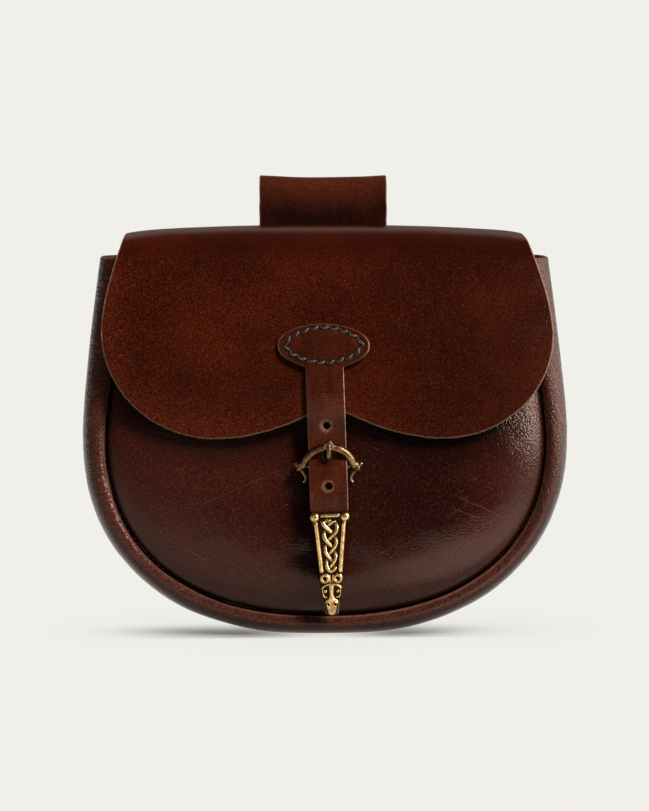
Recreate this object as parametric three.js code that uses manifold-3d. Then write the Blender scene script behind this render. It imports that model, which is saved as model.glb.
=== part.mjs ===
// A leather belt bag: a turned pouch with a two-lobed flap, a strap and buckle that close it,
// a cast strap end, and a wide loop behind for the belt.
// Millimetres, +Z up, the front faces -Y. The origin is on the ground under the middle of the bag.

import * as THREE from "three";
import { mergeVertices } from "three/addons/utils/BufferGeometryUtils.js";
import Module from "manifold-3d";

const wasm = await Module();
wasm.setup();

// Leather thicknesses, and the gap between pieces that lie on each other
const FIRM_LEATHER = 2.2;
const SOFT_LEATHER = 1.6;
const STRAP_LEATHER = 2.0;
const TAB_LEATHER = 1.4;
const GAP = 0.3;

// Outline of the pouch, seen from the front
const BODY_HALF_WIDTH = 93.9;
const WIDEST_HEIGHT = 78;
const MOUTH_HEIGHT = 145;
const MOUTH_HALF_WIDTH = 87;
const BELLY_POWER = 2.3;
const SIDE_POWER = 1.35;
const FOOT_SINK = 1.2; // the round bottom is pressed flat by this much where it stands
const BELLY_SHARE = 0.68; // share of the outline's stations that lie below the widest height
const STATIONS = 40; // steps along the outline, shared by all three panels so that seams match

// Depth of the pouch: seams sit in a groove between the panel and the rolled gusset
const FRONT_SEAM = -17;
const MOUTH_SEAM = -9.5;
const BACK_SEAM = 20;
const BACK_FACE = 22.5;
const SEAM_ALLOWANCE = 4;
const SEAM_TAPER_FROM = 68;
const ROLL_INSET = 9.1;
const MOUTH_ROLL_INSET = 12;
const CREST_RADIUS = 3.2;
const SHOULDER = 12;

// Swell of the front panel, and the hollow behind the strap
const BELLY_BULGE = 10.5;
const MOUTH_BULGE = 5;
const BULGE_REACH = 36;
const HOLLOW_DEPTH = 2.5;
const HOLLOW_WIDTH = 12;
const HOLLOW_FROM = 20;
const HOLLOW_TO = 74;
const BACK_EDGE_REACH = 6;

// Flap: it rises from the back, folds over the mouth and hangs in two lobes
const CREST_HEIGHT = 157.8;
const CREST_DROOP = 2.5;
const FOLD_RISE = 10.5;
const FOLD_FRONT = -16.5;
const FOLD_BACK_HALF_WIDTH = 74.7;
const FOLD_FRONT_HALF_WIDTH = 79.3;
const FLAP_HALF_WIDTH = 86.1;
const FLAP_WIDEST_HEIGHT = 117.5;
const FLAP_SIDE_POWER = 1.6;
const LOBE_CENTRE = 43.6;
const LOBE_DROP = 39.5;
const NOTCH_HEIGHT = 91.5;
const NOTCH_POWER = 1.9;
const FLAP_REACH = 14.8;
const FLAP_POWER = 1.7;
const FLAP_CROWN_TOP = 1.5;
const FLAP_CROWN = 5.5;
const FLAP_LEAN = 0.0152; // sideways shift for each millimetre of drop
const LOBE_SHARES = { notch: 0.3, side: 0.68 };

// Closing strap: an oval tab sewn to the flap, a straight run, and a taper behind the strap end
const STRAP_HALF_WIDTH = 7.3;
const STRAP_LEAN = 0.0317;
const STRAP_CENTRED_AT = 72; // height where the leaning strap crosses the middle of the bag
const TAB_HEIGHT = 113;
const TAB_HALF_WIDTH = 17.5;
const TAB_HALF_HEIGHT = 8.2;
const TAB_BLEND = 3;
const STRAP_BEND_HEIGHT = 51; // below this the strap hangs straight
const STRAP_LEAVES_FLAP = 86;
const STRAP_HANG = 0.18;
const STRAP_LIFT = 0.4; // clearance between the strap's back and the flap
const STRAP_TIP_HEIGHT = 9.5;
const STRAP_TIP_HALF_WIDTH = 3;
const STRAP_PATH = [
  { height: 78, depth: -30.3 },
  { height: 72.5, depth: -30.1 },
  { height: 66.5, depth: -32.3 },
  { height: 58, depth: -32.0 },
  { height: STRAP_BEND_HEIGHT, depth: -31.0 },
];
const STRAP_HOLES = [
  { height: 82.5, width: 2.6, length: 2.6 },
  { height: 71.2, width: 3.1, length: 5.8 },
  { height: 59.5, width: 2.6, length: 2.6 },
];

// Buckle: a bow with lobed ends on a straight bar, its tongue, and the leather tab that holds the bar
const BAR_HEIGHT = 66.5;
const BAR_DEPTH = -29.2;
const BAR_RADIUS = 1;
const BOW_TILT = 0.45;
const BOW_FORWARD = 2; // the bow stands this far in front of the bar
const BOW_HALF_WIDTH = 10.2;
const BOW_RISE = 9.8;
const BOW_RADIUS = 1.15;
const BOW_POWER = 0.8;
const BUCKLE_X = 0.2;
const TONGUE_RADIUS = 0.8;
const TONGUE_EYE_RADIUS = 1.8;
const TAB_STRIP_HALF_WIDTH = 5.5;
const TAB_STRIP_LOW = 44;
const TAB_STRIP_LIFT = 0.5;
const TAB_STRIP_SEWN = 55;
const TONGUE_SLOT_HALF_WIDTH = 2.6;
const TONGUE_SLOT_LOW = 62;

// Cast strap end, measured down from its top edge
const END_TOP_HEIGHT = 49.9;
const END_PLATE = 1.2;
const END_OUTLINE = [
  { drop: 0.6, half: 5.9 },
  { drop: 23.4, half: 4.4 },
  { drop: 27.5, half: 4.3 },
  { drop: 34.5, half: 3.5 },
  { drop: 41, half: 1.6 },
];
const END_ROD = { top: 5.4, bottom: 3.6, from: 3.2, to: 23.2, radius: 0.85 };
const END_BALL = { x: 5.8, drop: 1.8, radius: 1.65 };
const END_BRAID = { from: 3.6, to: 22.6, wide: 3.2, narrow: 1.7, radius: 0.62, weave: 0.32, turns: 1.15 };
const BRAID_STRANDS = 3;

// Belt loop behind: one strip whose two ends are sewn together to the back
const LOOP_HALF_WIDTH = 25;
const LOOP_CURL = 0.9;
const LOOP_PATH = [
  { depth: 22.8, height: 98 },
  { depth: 22.8, height: 112 },
  { depth: 22.8, height: 130 },
  { depth: 22.9, height: 149 },
  { depth: 23.6, height: 163.5 },
  { depth: 25.8, height: 172.4 },
  { depth: 30.4, height: 175.8 },
  { depth: 35, height: 172.3 },
  { depth: 37.6, height: 163.5 },
  { depth: 38.4, height: 148 },
  { depth: 36.6, height: 130 },
  { depth: 31, height: 114 },
  { depth: 27.7, height: 106.5 },
  { depth: 27.5, height: 98 },
];

const lerp = THREE.MathUtils.lerp;
const smoothstep = (x, from, to) => THREE.MathUtils.smoothstep(x, from, to);
const range = (count) => Array.from({ length: count }, (_, i) => i);

// Rises from 0 to 1 like a quarter of an ellipse: steep at the seam, level once it has run its reach.
const swell = (share) => Math.sqrt(1 - (1 - THREE.MathUtils.clamp(share, 0, 1)) ** 2);

// A smooth value through table rows sorted by falling height.
function alongHeight(rows, height) {
  const last = rows.length - 1;
  const slope = (k) => {
    const above = rows[Math.max(k - 1, 0)];
    const below = rows[Math.min(k + 1, last)];
    return (below.depth - above.depth) / (below.height - above.height);
  };
  let k = 0;
  while (k < last - 1 && height < rows[k + 1].height) k += 1;
  const span = rows[k + 1].height - rows[k].height;
  const f = (height - rows[k].height) / span;
  const rise = f * f * (3 - 2 * f);
  return (
    lerp(rows[k].depth, rows[k + 1].depth, rise) +
    span * f * (1 - f) * ((1 - f) * slope(k) - f * slope(k + 1))
  );
}

// The pouch's outline at station t, from the mouth's left end (-1) round the bottom (0) to its right end (1).
// A superellipse below the widest height, a gentle taper above it; nx, nz is the outward direction.
function bodyOutline(t) {
  const side = t < 0 ? -1 : 1;
  const along = Math.abs(t);
  if (along > BELLY_SHARE) {
    const rise = (along - BELLY_SHARE) / (1 - BELLY_SHARE);
    const taper = (BODY_HALF_WIDTH - MOUTH_HALF_WIDTH) * rise ** SIDE_POWER;
    return {
      x: side * (BODY_HALF_WIDTH - taper),
      z: lerp(WIDEST_HEIGHT, MOUTH_HEIGHT, rise),
      nx: side,
      nz: 0,
    };
  }
  const depth = WIDEST_HEIGHT + FOOT_SINK;
  const turn = ((along / BELLY_SHARE) * Math.PI) / 2;
  const across = Math.sin(turn) ** (2 / BELLY_POWER);
  const down = Math.max(Math.cos(turn), 0) ** (2 / BELLY_POWER);
  const nx = (side * across ** (BELLY_POWER - 1)) / BODY_HALF_WIDTH;
  const nz = -(down ** (BELLY_POWER - 1)) / depth;
  const length = Math.hypot(nx, nz);
  return {
    x: side * BODY_HALF_WIDTH * across,
    z: WIDEST_HEIGHT - depth * down,
    nx: nx / length,
    nz: nz / length,
  };
}

// The outline moved inwards, and never below the ground.
function insetOutline(t, inset) {
  const { x, z, nx, nz } = bodyOutline(t);
  return { x: x - nx * inset, z: Math.max(z - nz * inset, 0) };
}

const upShare = (z) => smoothstep(z, SEAM_TAPER_FROM, MOUTH_HEIGHT);
const frontSeam = (z) => lerp(FRONT_SEAM, MOUTH_SEAM, upShare(z));
const rollInset = (z) => lerp(ROLL_INSET, MOUTH_ROLL_INSET, upShare(z));
const stationOf = (i) => (2 * i) / STATIONS - 1;
const panelEdge = (t) => insetOutline(t, rollInset(bodyOutline(t).z) + GAP);

// Thickens an open sheet, given as a grid of points, into one closed solid.
// The grid's first direction crossed with its second points out of the grain side; the wall grows inwards.
function leatherWall(grid, thickness) {
  const across = grid[0].length;
  const positions = grid.flat().flatMap((p) => [p.x, p.y, p.z]);
  const index = [];
  range(grid.length - 1).forEach((i) =>
    range(across - 1).forEach((j) => {
      const a = i * across + j;
      const b = a + across;
      index.push(a, b, b + 1, a, b + 1, a + 1);
    }),
  );
  const raw = new THREE.BufferGeometry();
  raw.setAttribute("position", new THREE.Float32BufferAttribute(positions, 3));
  raw.setIndex(index);
  const sheet = mergeVertices(raw, 1e-3);
  const faces = range(sheet.index.count / 3)
    .map((f) => [0, 1, 2].map((k) => sheet.index.getX(3 * f + k)))
    .filter(([a, b, c]) => a !== b && b !== c && c !== a);
  sheet.setIndex(faces.flat());
  sheet.computeVertexNormals();
  const count = sheet.attributes.position.count;
  const outer = range(count).map((i) => new THREE.Vector3().fromBufferAttribute(sheet.attributes.position, i));
  const normal = range(count).map((i) => new THREE.Vector3().fromBufferAttribute(sheet.attributes.normal, i));
  const inner = outer.map((p, i) => p.clone().addScaledVector(normal[i], -thickness));
  const edges = new Set(faces.flatMap(([a, b, c]) => [`${a} ${b}`, `${b} ${c}`, `${c} ${a}`]));
  const rim = [...edges]
    .map((edge) => edge.split(" ").map(Number))
    .filter(([a, b]) => !edges.has(`${b} ${a}`))
    .flatMap(([a, b]) => [b, a, a + count, b, a + count, b + count]);
  const lining = faces.flatMap(([a, b, c]) => [a + count, c + count, b + count]);
  const solid = new THREE.BufferGeometry();
  solid.setFromPoints([...outer, ...inner]);
  solid.setIndex([...faces.flat(), ...lining, ...rim]);
  return solid;
}

// manifold-3d solids, for the pieces that are cut or joined
function toSolid(geometry) {
  const bare = geometry.clone();
  bare.deleteAttribute("normal");
  bare.deleteAttribute("uv");
  const merged = mergeVertices(bare, 1e-4);
  const mesh = new wasm.Mesh({
    numProp: 3,
    vertProperties: merged.attributes.position.array,
    triVerts: new Uint32Array(merged.index.array),
  });
  return new wasm.Manifold(mesh);
}

function toGeometry(solid) {
  const mesh = solid.getMesh();
  const geometry = new THREE.BufferGeometry();
  geometry.setAttribute("position", new THREE.BufferAttribute(new Float32Array(mesh.vertProperties), 3));
  geometry.setIndex(new THREE.BufferAttribute(new Uint32Array(mesh.triVerts), 1));
  return geometry;
}

const joined = (geometries) => geometries.map(toSolid).reduce((whole, piece) => whole.add(piece));

// A round bar from one point to another, with its radius at each end.
function bar(from, to, fromRadius, toRadius = fromRadius, sides = 8) {
  const along = new THREE.Vector3().subVectors(to, from);
  const geometry = new THREE.CylinderGeometry(toRadius, fromRadius, along.length(), sides);
  const turn = new THREE.Quaternion().setFromUnitVectors(new THREE.Vector3(0, 1, 0), along.clone().normalize());
  return geometry.applyQuaternion(turn).translate(...from.clone().addScaledVector(along, 0.5).toArray());
}

// A wire along a smooth curve through points.
function wire(points, radius, steps, sides = 6) {
  const corners = range(sides).map((k) => {
    const angle = (2 * Math.PI * k) / sides;
    return new THREE.Vector2(radius * Math.cos(angle), radius * Math.sin(angle));
  });
  const extrudePath = new THREE.CatmullRomCurve3(points);
  return new THREE.ExtrudeGeometry(new THREE.Shape(corners), { steps, extrudePath, curveSegments: 1 });
}

const ball = (x, y, z, radius) => new THREE.SphereGeometry(radius, 8, 6).translate(x, y, z);
const dome = (x, y, z, radius) => new THREE.SphereGeometry(radius, 10, 6).scale(1, 0.68, 1).translate(x, y, z);
const point = (x, y, z) => new THREE.Vector3(x, y, z);

// Gusset: across its width it runs allowance, groove, rolled crest, shoulder, side, and the same again.
function rollProfile(inset) {
  const crest = range(4).map((k) => {
    const angle = (Math.PI / 2) * (k / 3);
    return {
      inset: inset - CREST_RADIUS * (1 - Math.cos(angle)),
      reach: CREST_RADIUS * Math.sin(angle),
    };
  });
  const shoulder = range(3).map((k) => {
    const angle = (Math.PI / 2) * ((k + 1) / 3);
    return {
      inset: (inset - CREST_RADIUS) * (1 - Math.sin(angle)),
      reach: CREST_RADIUS - SHOULDER * (1 - Math.cos(angle)),
    };
  });
  return [{ inset, reach: -SEAM_ALLOWANCE }, ...crest, ...shoulder];
}

function gussetGeometry() {
  const grid = range(STATIONS + 1).map((i) => {
    const t = stationOf(i);
    const { z } = bodyOutline(t);
    const roll = rollProfile(rollInset(z));
    const back = roll.map(({ inset, reach }) => ({ inset, depth: BACK_SEAM + reach }));
    const front = roll.map(({ inset, reach }) => ({ inset, depth: frontSeam(z) - reach }));
    return [...back, ...front.reverse()].map(({ inset, depth }) => {
      const edge = insetOutline(t, inset);
      return point(edge.x, depth, edge.z);
    });
  });
  return leatherWall(grid, SOFT_LEATHER);
}

// Front panel: a fan from the middle of the mouth to the seam, swelling forward away from the seam.
const SEAM_SAMPLES = range(241).map((i) => panelEdge(i / 120 - 1));

function seamDistance(x, z) {
  return Math.min(...SEAM_SAMPLES.map((p) => Math.hypot(p.x - x, p.z - z)));
}

function hollow(x, z) {
  const low = smoothstep(z, HOLLOW_FROM, HOLLOW_FROM + 14);
  const high = 1 - smoothstep(z, HOLLOW_TO, HOLLOW_TO + 14);
  return HOLLOW_DEPTH * low * high * Math.exp(-((x / HOLLOW_WIDTH) ** 2));
}

function frontDepth(x, z) {
  const bulge = lerp(BELLY_BULGE, MOUTH_BULGE, upShare(z));
  return frontSeam(z) - bulge * swell(seamDistance(x, z) / BULGE_REACH) + hollow(x, z);
}

function frontPanelGeometry() {
  const rows = 9;
  const grid = range(STATIONS + 1).map((i) => {
    const edge = panelEdge(stationOf(i));
    const allowance = point(edge.x, frontSeam(edge.z) + SEAM_ALLOWANCE, edge.z);
    const fan = range(rows + 1).map((k) => {
      const share = (k / rows) ** 2;
      const x = lerp(edge.x, 0, share);
      const z = lerp(edge.z, MOUTH_HEIGHT, share);
      return point(x, k === 0 ? frontSeam(z) : frontDepth(x, z), z);
    });
    return [allowance, ...fan];
  });
  return leatherWall(grid, SOFT_LEATHER);
}

// Flap: the fold over the mouth is part of an ellipse that ends where the front's slope takes over.
const FOLD_HALF_DEPTH = (BACK_FACE - FOLD_FRONT) / 2;
const FOLD_CENTRE = (BACK_FACE + FOLD_FRONT) / 2;
const FOLD_HEIGHT = CREST_HEIGHT - FOLD_RISE;
const LOBE_HEIGHT = FLAP_WIDEST_HEIGHT - LOBE_DROP;
const FLAP_SLOPE = (FLAP_REACH * FLAP_POWER) / (FOLD_HEIGHT - LOBE_HEIGHT);
const FOLD_END_ANGLE = Math.PI - Math.atan((FLAP_SLOPE * FOLD_RISE) / FOLD_HALF_DEPTH);
const FLAP_TOP = {
  depth: FOLD_CENTRE + FOLD_HALF_DEPTH * Math.cos(FOLD_END_ANGLE),
  height: FOLD_HEIGHT + FOLD_RISE * Math.sin(FOLD_END_ANGLE),
};

const crownAt = (x, amount) => amount * (x / FLAP_HALF_WIDTH) ** 4;

function flapDepth(x, z) {
  const fall = THREE.MathUtils.clamp((FLAP_TOP.height - z) / (FLAP_TOP.height - LOBE_HEIGHT), 0, 1);
  const crown = crownAt(x, lerp(FLAP_CROWN_TOP, FLAP_CROWN, fall));
  return FLAP_TOP.depth - FLAP_REACH * (1 - (1 - fall) ** FLAP_POWER) + crown;
}

// The flap's cut edge at station t: up the side, round a lobe, and up to the notch in the middle.
function flapOutline(t) {
  const side = t < 0 ? -1 : 1;
  const along = Math.abs(t);
  if (along > LOBE_SHARES.side) {
    const rise = (along - LOBE_SHARES.side) / (1 - LOBE_SHARES.side);
    const taper = (FLAP_HALF_WIDTH - FOLD_FRONT_HALF_WIDTH) * rise ** FLAP_SIDE_POWER;
    return {
      x: side * (FLAP_HALF_WIDTH - taper),
      z: lerp(FLAP_WIDEST_HEIGHT, FLAP_TOP.height, rise),
    };
  }
  if (along > LOBE_SHARES.notch) {
    const turn = ((LOBE_SHARES.side - along) / (LOBE_SHARES.side - LOBE_SHARES.notch)) * (Math.PI / 2);
    return {
      x: side * (LOBE_CENTRE + (FLAP_HALF_WIDTH - LOBE_CENTRE) * Math.cos(turn)),
      z: FLAP_WIDEST_HEIGHT - LOBE_DROP * Math.sin(turn),
    };
  }
  const inwards = 1 - along / LOBE_SHARES.notch;
  return {
    x: side * LOBE_CENTRE * (1 - inwards),
    z: lerp(LOBE_HEIGHT, NOTCH_HEIGHT, inwards ** NOTCH_POWER),
  };
}

function flapLean(z) {
  return FLAP_LEAN * Math.max(FLAP_TOP.height - z, 0);
}

// One column of the back and flap: up the back, over the fold, down the front to the cut edge.
function backFlapColumn(t) {
  const low = panelEdge(t);
  const foldX = t * FOLD_BACK_HALF_WIDTH;
  const length = Math.hypot(low.x - foldX, low.z - FOLD_HEIGHT);
  const turned = smoothstep(length, 2, 30);
  const edgeDepth = lerp(BACK_FACE, BACK_SEAM, turned);
  const backRows = [0, 0.012, 0.05, 0.4].map((share) => {
    const depth = lerp(edgeDepth, BACK_FACE, swell((share * length) / BACK_EDGE_REACH));
    return point(lerp(low.x, foldX, share), depth, lerp(low.z, FOLD_HEIGHT, share));
  });
  const allowance = point(low.x, edgeDepth - SEAM_ALLOWANCE * turned, low.z);
  const foldSteps = 7;
  const foldRows = range(foldSteps + 1).map((k) => {
    const share = k / foldSteps;
    const angle = FOLD_END_ANGLE * share;
    const x = t * lerp(FOLD_BACK_HALF_WIDTH, FOLD_FRONT_HALF_WIDTH, share ** 1.5);
    const droop = CREST_DROOP * t * t * Math.sin(Math.PI * share);
    const depth = FOLD_CENTRE + FOLD_HALF_DEPTH * Math.cos(angle) + crownAt(x, FLAP_CROWN_TOP * share);
    return point(x, depth, FOLD_HEIGHT + FOLD_RISE * Math.sin(angle) - droop);
  });
  const edge = flapOutline(t);
  const frontX = t * FOLD_FRONT_HALF_WIDTH;
  const frontSteps = 5;
  const frontRows = range(frontSteps).map((k) => {
    const share = (k + 1) / frontSteps;
    const x = lerp(frontX, edge.x, share);
    const z = lerp(FLAP_TOP.height, edge.z, share);
    return point(x + flapLean(z), flapDepth(x, z), z);
  });
  return [allowance, ...backRows, ...foldRows, ...frontRows];
}

function backFlapGeometry() {
  const columns = range(STATIONS + 1).map((i) => backFlapColumn(-stationOf(i)));
  return leatherWall(columns, FIRM_LEATHER);
}

// Closing strap: its back follows the flap, then passes behind the bow, over the bar, and hangs.
const STRAP_ROWS = [
  { height: STRAP_LEAVES_FLAP, depth: flapDepth(0, STRAP_LEAVES_FLAP) - STRAP_LIFT },
  ...STRAP_PATH,
  { height: 0, depth: STRAP_PATH.at(-1).depth + STRAP_HANG * STRAP_BEND_HEIGHT },
];
const strapX = (z) => STRAP_LEAN * (STRAP_CENTRED_AT - z);

function strapDepth(z) {
  if (z > STRAP_LEAVES_FLAP) return flapDepth(0, z) - STRAP_LIFT;
  if (z > STRAP_BEND_HEIGHT) return alongHeight(STRAP_ROWS, z);
  return STRAP_PATH.at(-1).depth + STRAP_HANG * (STRAP_BEND_HEIGHT - z);
}

function strapHalfWidth(z) {
  if (z < STRAP_BEND_HEIGHT) {
    const share = (STRAP_BEND_HEIGHT - z) / (STRAP_BEND_HEIGHT - STRAP_TIP_HEIGHT);
    return lerp(STRAP_HALF_WIDTH, STRAP_TIP_HALF_WIDTH, share);
  }
  const off = (z - TAB_HEIGHT) / TAB_HALF_HEIGHT;
  const oval = TAB_HALF_WIDTH * Math.sqrt(Math.max(1 - off * off, 0));
  if (z > TAB_HEIGHT) return oval;
  const mix = THREE.MathUtils.clamp(0.5 + (oval - STRAP_HALF_WIDTH) / (2 * TAB_BLEND), 0, 1);
  return lerp(STRAP_HALF_WIDTH, oval, mix) + TAB_BLEND * mix * (1 - mix);
}

function strapGeometry() {
  const tabTop = TAB_HEIGHT + TAB_HALF_HEIGHT;
  const tabHeights = range(7).map((k) => TAB_HEIGHT + TAB_HALF_HEIGHT * Math.cos((Math.PI / 12) * k));
  const neckHeights = [110.5, 108.5, 107, 105.8, 104.6, 103];
  const runHeights = range(18).map((k) => lerp(100, STRAP_BEND_HEIGHT, k / 17));
  const heights = [...tabHeights, ...neckHeights, ...runHeights, 42, 31, 20, STRAP_TIP_HEIGHT];
  const acrossSteps = 4;
  const columns = range(acrossSteps + 1).map((j) =>
    heights.map((z) => {
      const across = 1 - (2 * j) / acrossSteps;
      const depth = strapDepth(z) - STRAP_LEATHER;
      return point(strapX(z) + across * (z === tabTop ? 0 : strapHalfWidth(z)), depth, z);
    }),
  );
  const holes = STRAP_HOLES.map(({ height, width, length }) => {
    const cutter = new THREE.CylinderGeometry(width / 2, width / 2, 12, 12).scale(1, 1, length / width);
    return toSolid(cutter.translate(strapX(height), strapDepth(height), height));
  });
  return toGeometry(holes.reduce((strap, hole) => strap.subtract(hole), toSolid(leatherWall(columns, STRAP_LEATHER))));
}

// Leather tab under the strap: sewn to the front panel, it passes round the buckle's bar and back down.
function buckleTabGeometry() {
  const radius = BAR_RADIUS + GAP + TAB_LEATHER;
  const doubled = 2 * TAB_LEATHER + GAP;
  const sewn = [TAB_STRIP_LOW, lerp(TAB_STRIP_LOW, TAB_STRIP_SEWN, 0.5), TAB_STRIP_SEWN];
  const rise = [0.3, 0.55, 0.8].map((share) => lerp(TAB_STRIP_SEWN, BAR_HEIGHT, share));
  const layer = (x, z, side) => {
    const onPanel = frontDepth(x, Math.min(z, TAB_STRIP_SEWN)) - TAB_STRIP_LIFT - (side < 0 ? doubled : 0);
    return lerp(onPanel, BAR_DEPTH + side * radius, smoothstep(z, TAB_STRIP_SEWN, BAR_HEIGHT));
  };
  const acrossSteps = 4;
  const columns = range(acrossSteps + 1).map((j) => {
    const x = BUCKLE_X + TAB_STRIP_HALF_WIDTH * (1 - (2 * j) / acrossSteps);
    const up = [...sewn, ...rise].map((z) => point(x, layer(x, z, 1), z));
    const round = range(7).map((k) => {
      const angle = (Math.PI / 6) * k;
      return point(x, BAR_DEPTH + radius * Math.cos(angle), BAR_HEIGHT + radius * Math.sin(angle));
    });
    const down = [...sewn, ...rise].reverse().map((z) => point(x, layer(x, z, -1), z));
    return [...up, ...round, ...down];
  });
  const slotHeight = 12;
  const slot = new THREE.BoxGeometry(2 * TONGUE_SLOT_HALF_WIDTH, 4 * radius, slotHeight);
  slot.translate(BUCKLE_X, BAR_DEPTH, TONGUE_SLOT_LOW + slotHeight / 2);
  return toGeometry(toSolid(leatherWall(columns, TAB_LEATHER)).subtract(toSolid(slot)));
}

// Buckle frame in its own plane: x across, z up the bow, -y towards the viewer.
function buckleFrameGeometry() {
  const bow = range(9).map((k) => {
    const angle = (Math.PI * k) / 8;
    const across = Math.sign(Math.cos(angle)) * Math.abs(Math.cos(angle)) ** BOW_POWER;
    return point(-BOW_HALF_WIDTH * across, -BOW_FORWARD, BOW_RISE * Math.sin(angle) ** BOW_POWER);
  });
  const ends = [-1, 1].flatMap((side) => [
    bar(point(side * BOW_HALF_WIDTH, 0.9, 0), point(side * BOW_HALF_WIDTH, -3, 0), 1.5, 1.5, 10),
    bar(point(side * BOW_HALF_WIDTH, -1.6, 0.3), point(side * 12.3, -1.6, 1.9), 1.2, 0.6, 6),
    wire(
      [
        point(side * 10.4, -1.6, -0.6),
        point(side * 9.9, -1.9, -2.6),
        point(side * 8.9, -2.5, -4.2),
        point(side * 8.7, -2.9, -5.2),
        point(side * 9.2, -3.1, -5.9),
      ],
      0.55,
      5,
      5,
    ),
  ]);
  const seat = [-1, 1].map((side) => ball(side * 1.7, -BOW_FORWARD - 0.1, BOW_RISE + 0.1, 1.3));
  const straight = bar(point(-BOW_HALF_WIDTH, 0, 0), point(BOW_HALF_WIDTH, 0, 0), BAR_RADIUS);
  return toGeometry(joined([wire(bow, BOW_RADIUS, 14, 7), straight, ...ends, ...seat]));
}

// Tongue: an eye round the bar and a shaft that passes through the strap and lies over the bow.
function tongueGeometry() {
  const eye = new THREE.TorusGeometry(TONGUE_EYE_RADIUS, 0.5, 6, 14).rotateY(Math.PI / 2);
  eye.translate(BUCKLE_X, BAR_DEPTH, BAR_HEIGHT);
  const shaft = wire(
    [
      point(BUCKLE_X, BAR_DEPTH - 0.4, BAR_HEIGHT + 1.8),
      point(BUCKLE_X, BAR_DEPTH - 1.6, BAR_HEIGHT + 3.4),
      point(BUCKLE_X, BAR_DEPTH - 3.8, BAR_HEIGHT + 4.7),
      point(BUCKLE_X, BAR_DEPTH - 7.2, BAR_HEIGHT + 5.7),
      point(BUCKLE_X, BAR_DEPTH - 9.2, BAR_HEIGHT + 7.5),
      point(BUCKLE_X, BAR_DEPTH - 9.3, BAR_HEIGHT + 9.9),
    ],
    TONGUE_RADIUS,
    12,
    7,
  );
  return toGeometry(joined([eye, shaft]));
}

// Strap end, cast in one: a tapered plate framed by rods, with a braid in relief and a beast's head at the tip.
function strapEndGeometry() {
  const outline = new THREE.Shape([
    ...END_OUTLINE.map(({ drop, half }) => new THREE.Vector2(half, -drop)),
    ...[...END_OUTLINE].reverse().map(({ drop, half }) => new THREE.Vector2(-half, -drop)),
  ]);
  const plate = new THREE.ExtrudeGeometry(outline, { depth: END_PLATE, bevelEnabled: false }).rotateX(Math.PI / 2);
  const face = -END_PLATE;
  const frame = [-1, 1].flatMap((side) => [
    bar(
      point(side * END_ROD.top, face, -END_ROD.from),
      point(side * END_ROD.bottom, face, -END_ROD.to),
      END_ROD.radius,
    ),
    dome(side * END_BALL.x, face, -END_BALL.drop, END_BALL.radius),
  ]);
  const topBar = bar(point(-4.6, face - 0.2, -1), point(4.6, face - 0.2, -1), 0.9);
  const strands = range(BRAID_STRANDS).map((strand) => {
    const points = range(15).map((k) => {
      const share = k / 14;
      const phase = 2 * Math.PI * (END_BRAID.turns * share + strand / BRAID_STRANDS);
      const swing = lerp(END_BRAID.wide, END_BRAID.narrow, share) - END_BRAID.radius / 2;
      const lift = END_BRAID.weave * Math.sin(2 * phase);
      return point(swing * Math.sin(phase), face - 0.15 - lift, -lerp(END_BRAID.from, END_BRAID.to, share));
    });
    return wire(points, END_BRAID.radius, 16, 5);
  });
  const head = [-1, 1].flatMap((side) => [
    new THREE.TorusGeometry(1.4, 0.6, 5, 10).rotateX(Math.PI / 2).translate(side * 2.6, face - 0.2, -25.6),
    ball(side * 2.2, face - 0.2, -31.3, 0.85),
    wire(
      [
        point(side * 3.3, face, -31.4),
        point(side * 3.2, face - 0.2, -33.4),
        point(side * 2.3, face - 0.1, -34.3),
      ],
      0.5,
      4,
    ),
  ]);
  const brow = wire(
    [point(-3.9, face, -30), point(-2, face - 0.3, -28.7), point(2, face - 0.3, -28.7), point(3.9, face, -30)],
    0.6,
    8,
  );
  const nose = bar(point(0, face, -29), point(0, face - 0.3, -35.4), 0.6, 1.25);
  const muzzle = new THREE.Shape([
    new THREE.Vector2(2.8, -34.9),
    new THREE.Vector2(2.6, -37.4),
    new THREE.Vector2(1.4, -41),
    new THREE.Vector2(-1.4, -41),
    new THREE.Vector2(-2.6, -37.4),
    new THREE.Vector2(-2.8, -34.9),
  ]);
  const snout = new THREE.ExtrudeGeometry(muzzle, {
    depth: 0.9,
    bevelSize: 0.3,
    bevelThickness: 0.3,
    bevelOffset: -0.3,
    bevelSegments: 1,
  })
    .rotateX(Math.PI / 2)
    .translate(0, face + 0.2, 0);
  const nostrils = [-1, 1].map((side) => toSolid(ball(side * 1.3, face - 1.2, -36.6, 0.6)));
  const cast = joined([plate, ...frame, topBar, ...strands, ...head, brow, nose, snout]);
  return toGeometry(nostrils.reduce((whole, hole) => whole.subtract(hole), cast));
}

// Belt loop: the strip's section runs up the back of the bag, folds over at the top and comes down again.
function beltLoopGeometry() {
  const path = new THREE.CatmullRomCurve3(
    LOOP_PATH.map(({ depth, height }) => point(0, depth, height)),
    false,
    "catmullrom",
    0.5,
  );
  const top = Math.max(...LOOP_PATH.map(({ height }) => height));
  const sections = path.getPoints(30);
  const acrossSteps = 4;
  const columns = range(acrossSteps + 1).map((j) => {
    const across = (2 * j) / acrossSteps - 1;
    return sections.map((p) => {
      const curl = LOOP_CURL * across * across * smoothstep(p.z, top - 14, top);
      return point(across * LOOP_HALF_WIDTH, p.y, p.z + curl);
    });
  });
  return leatherWall(columns, FIRM_LEATHER);
}

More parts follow.
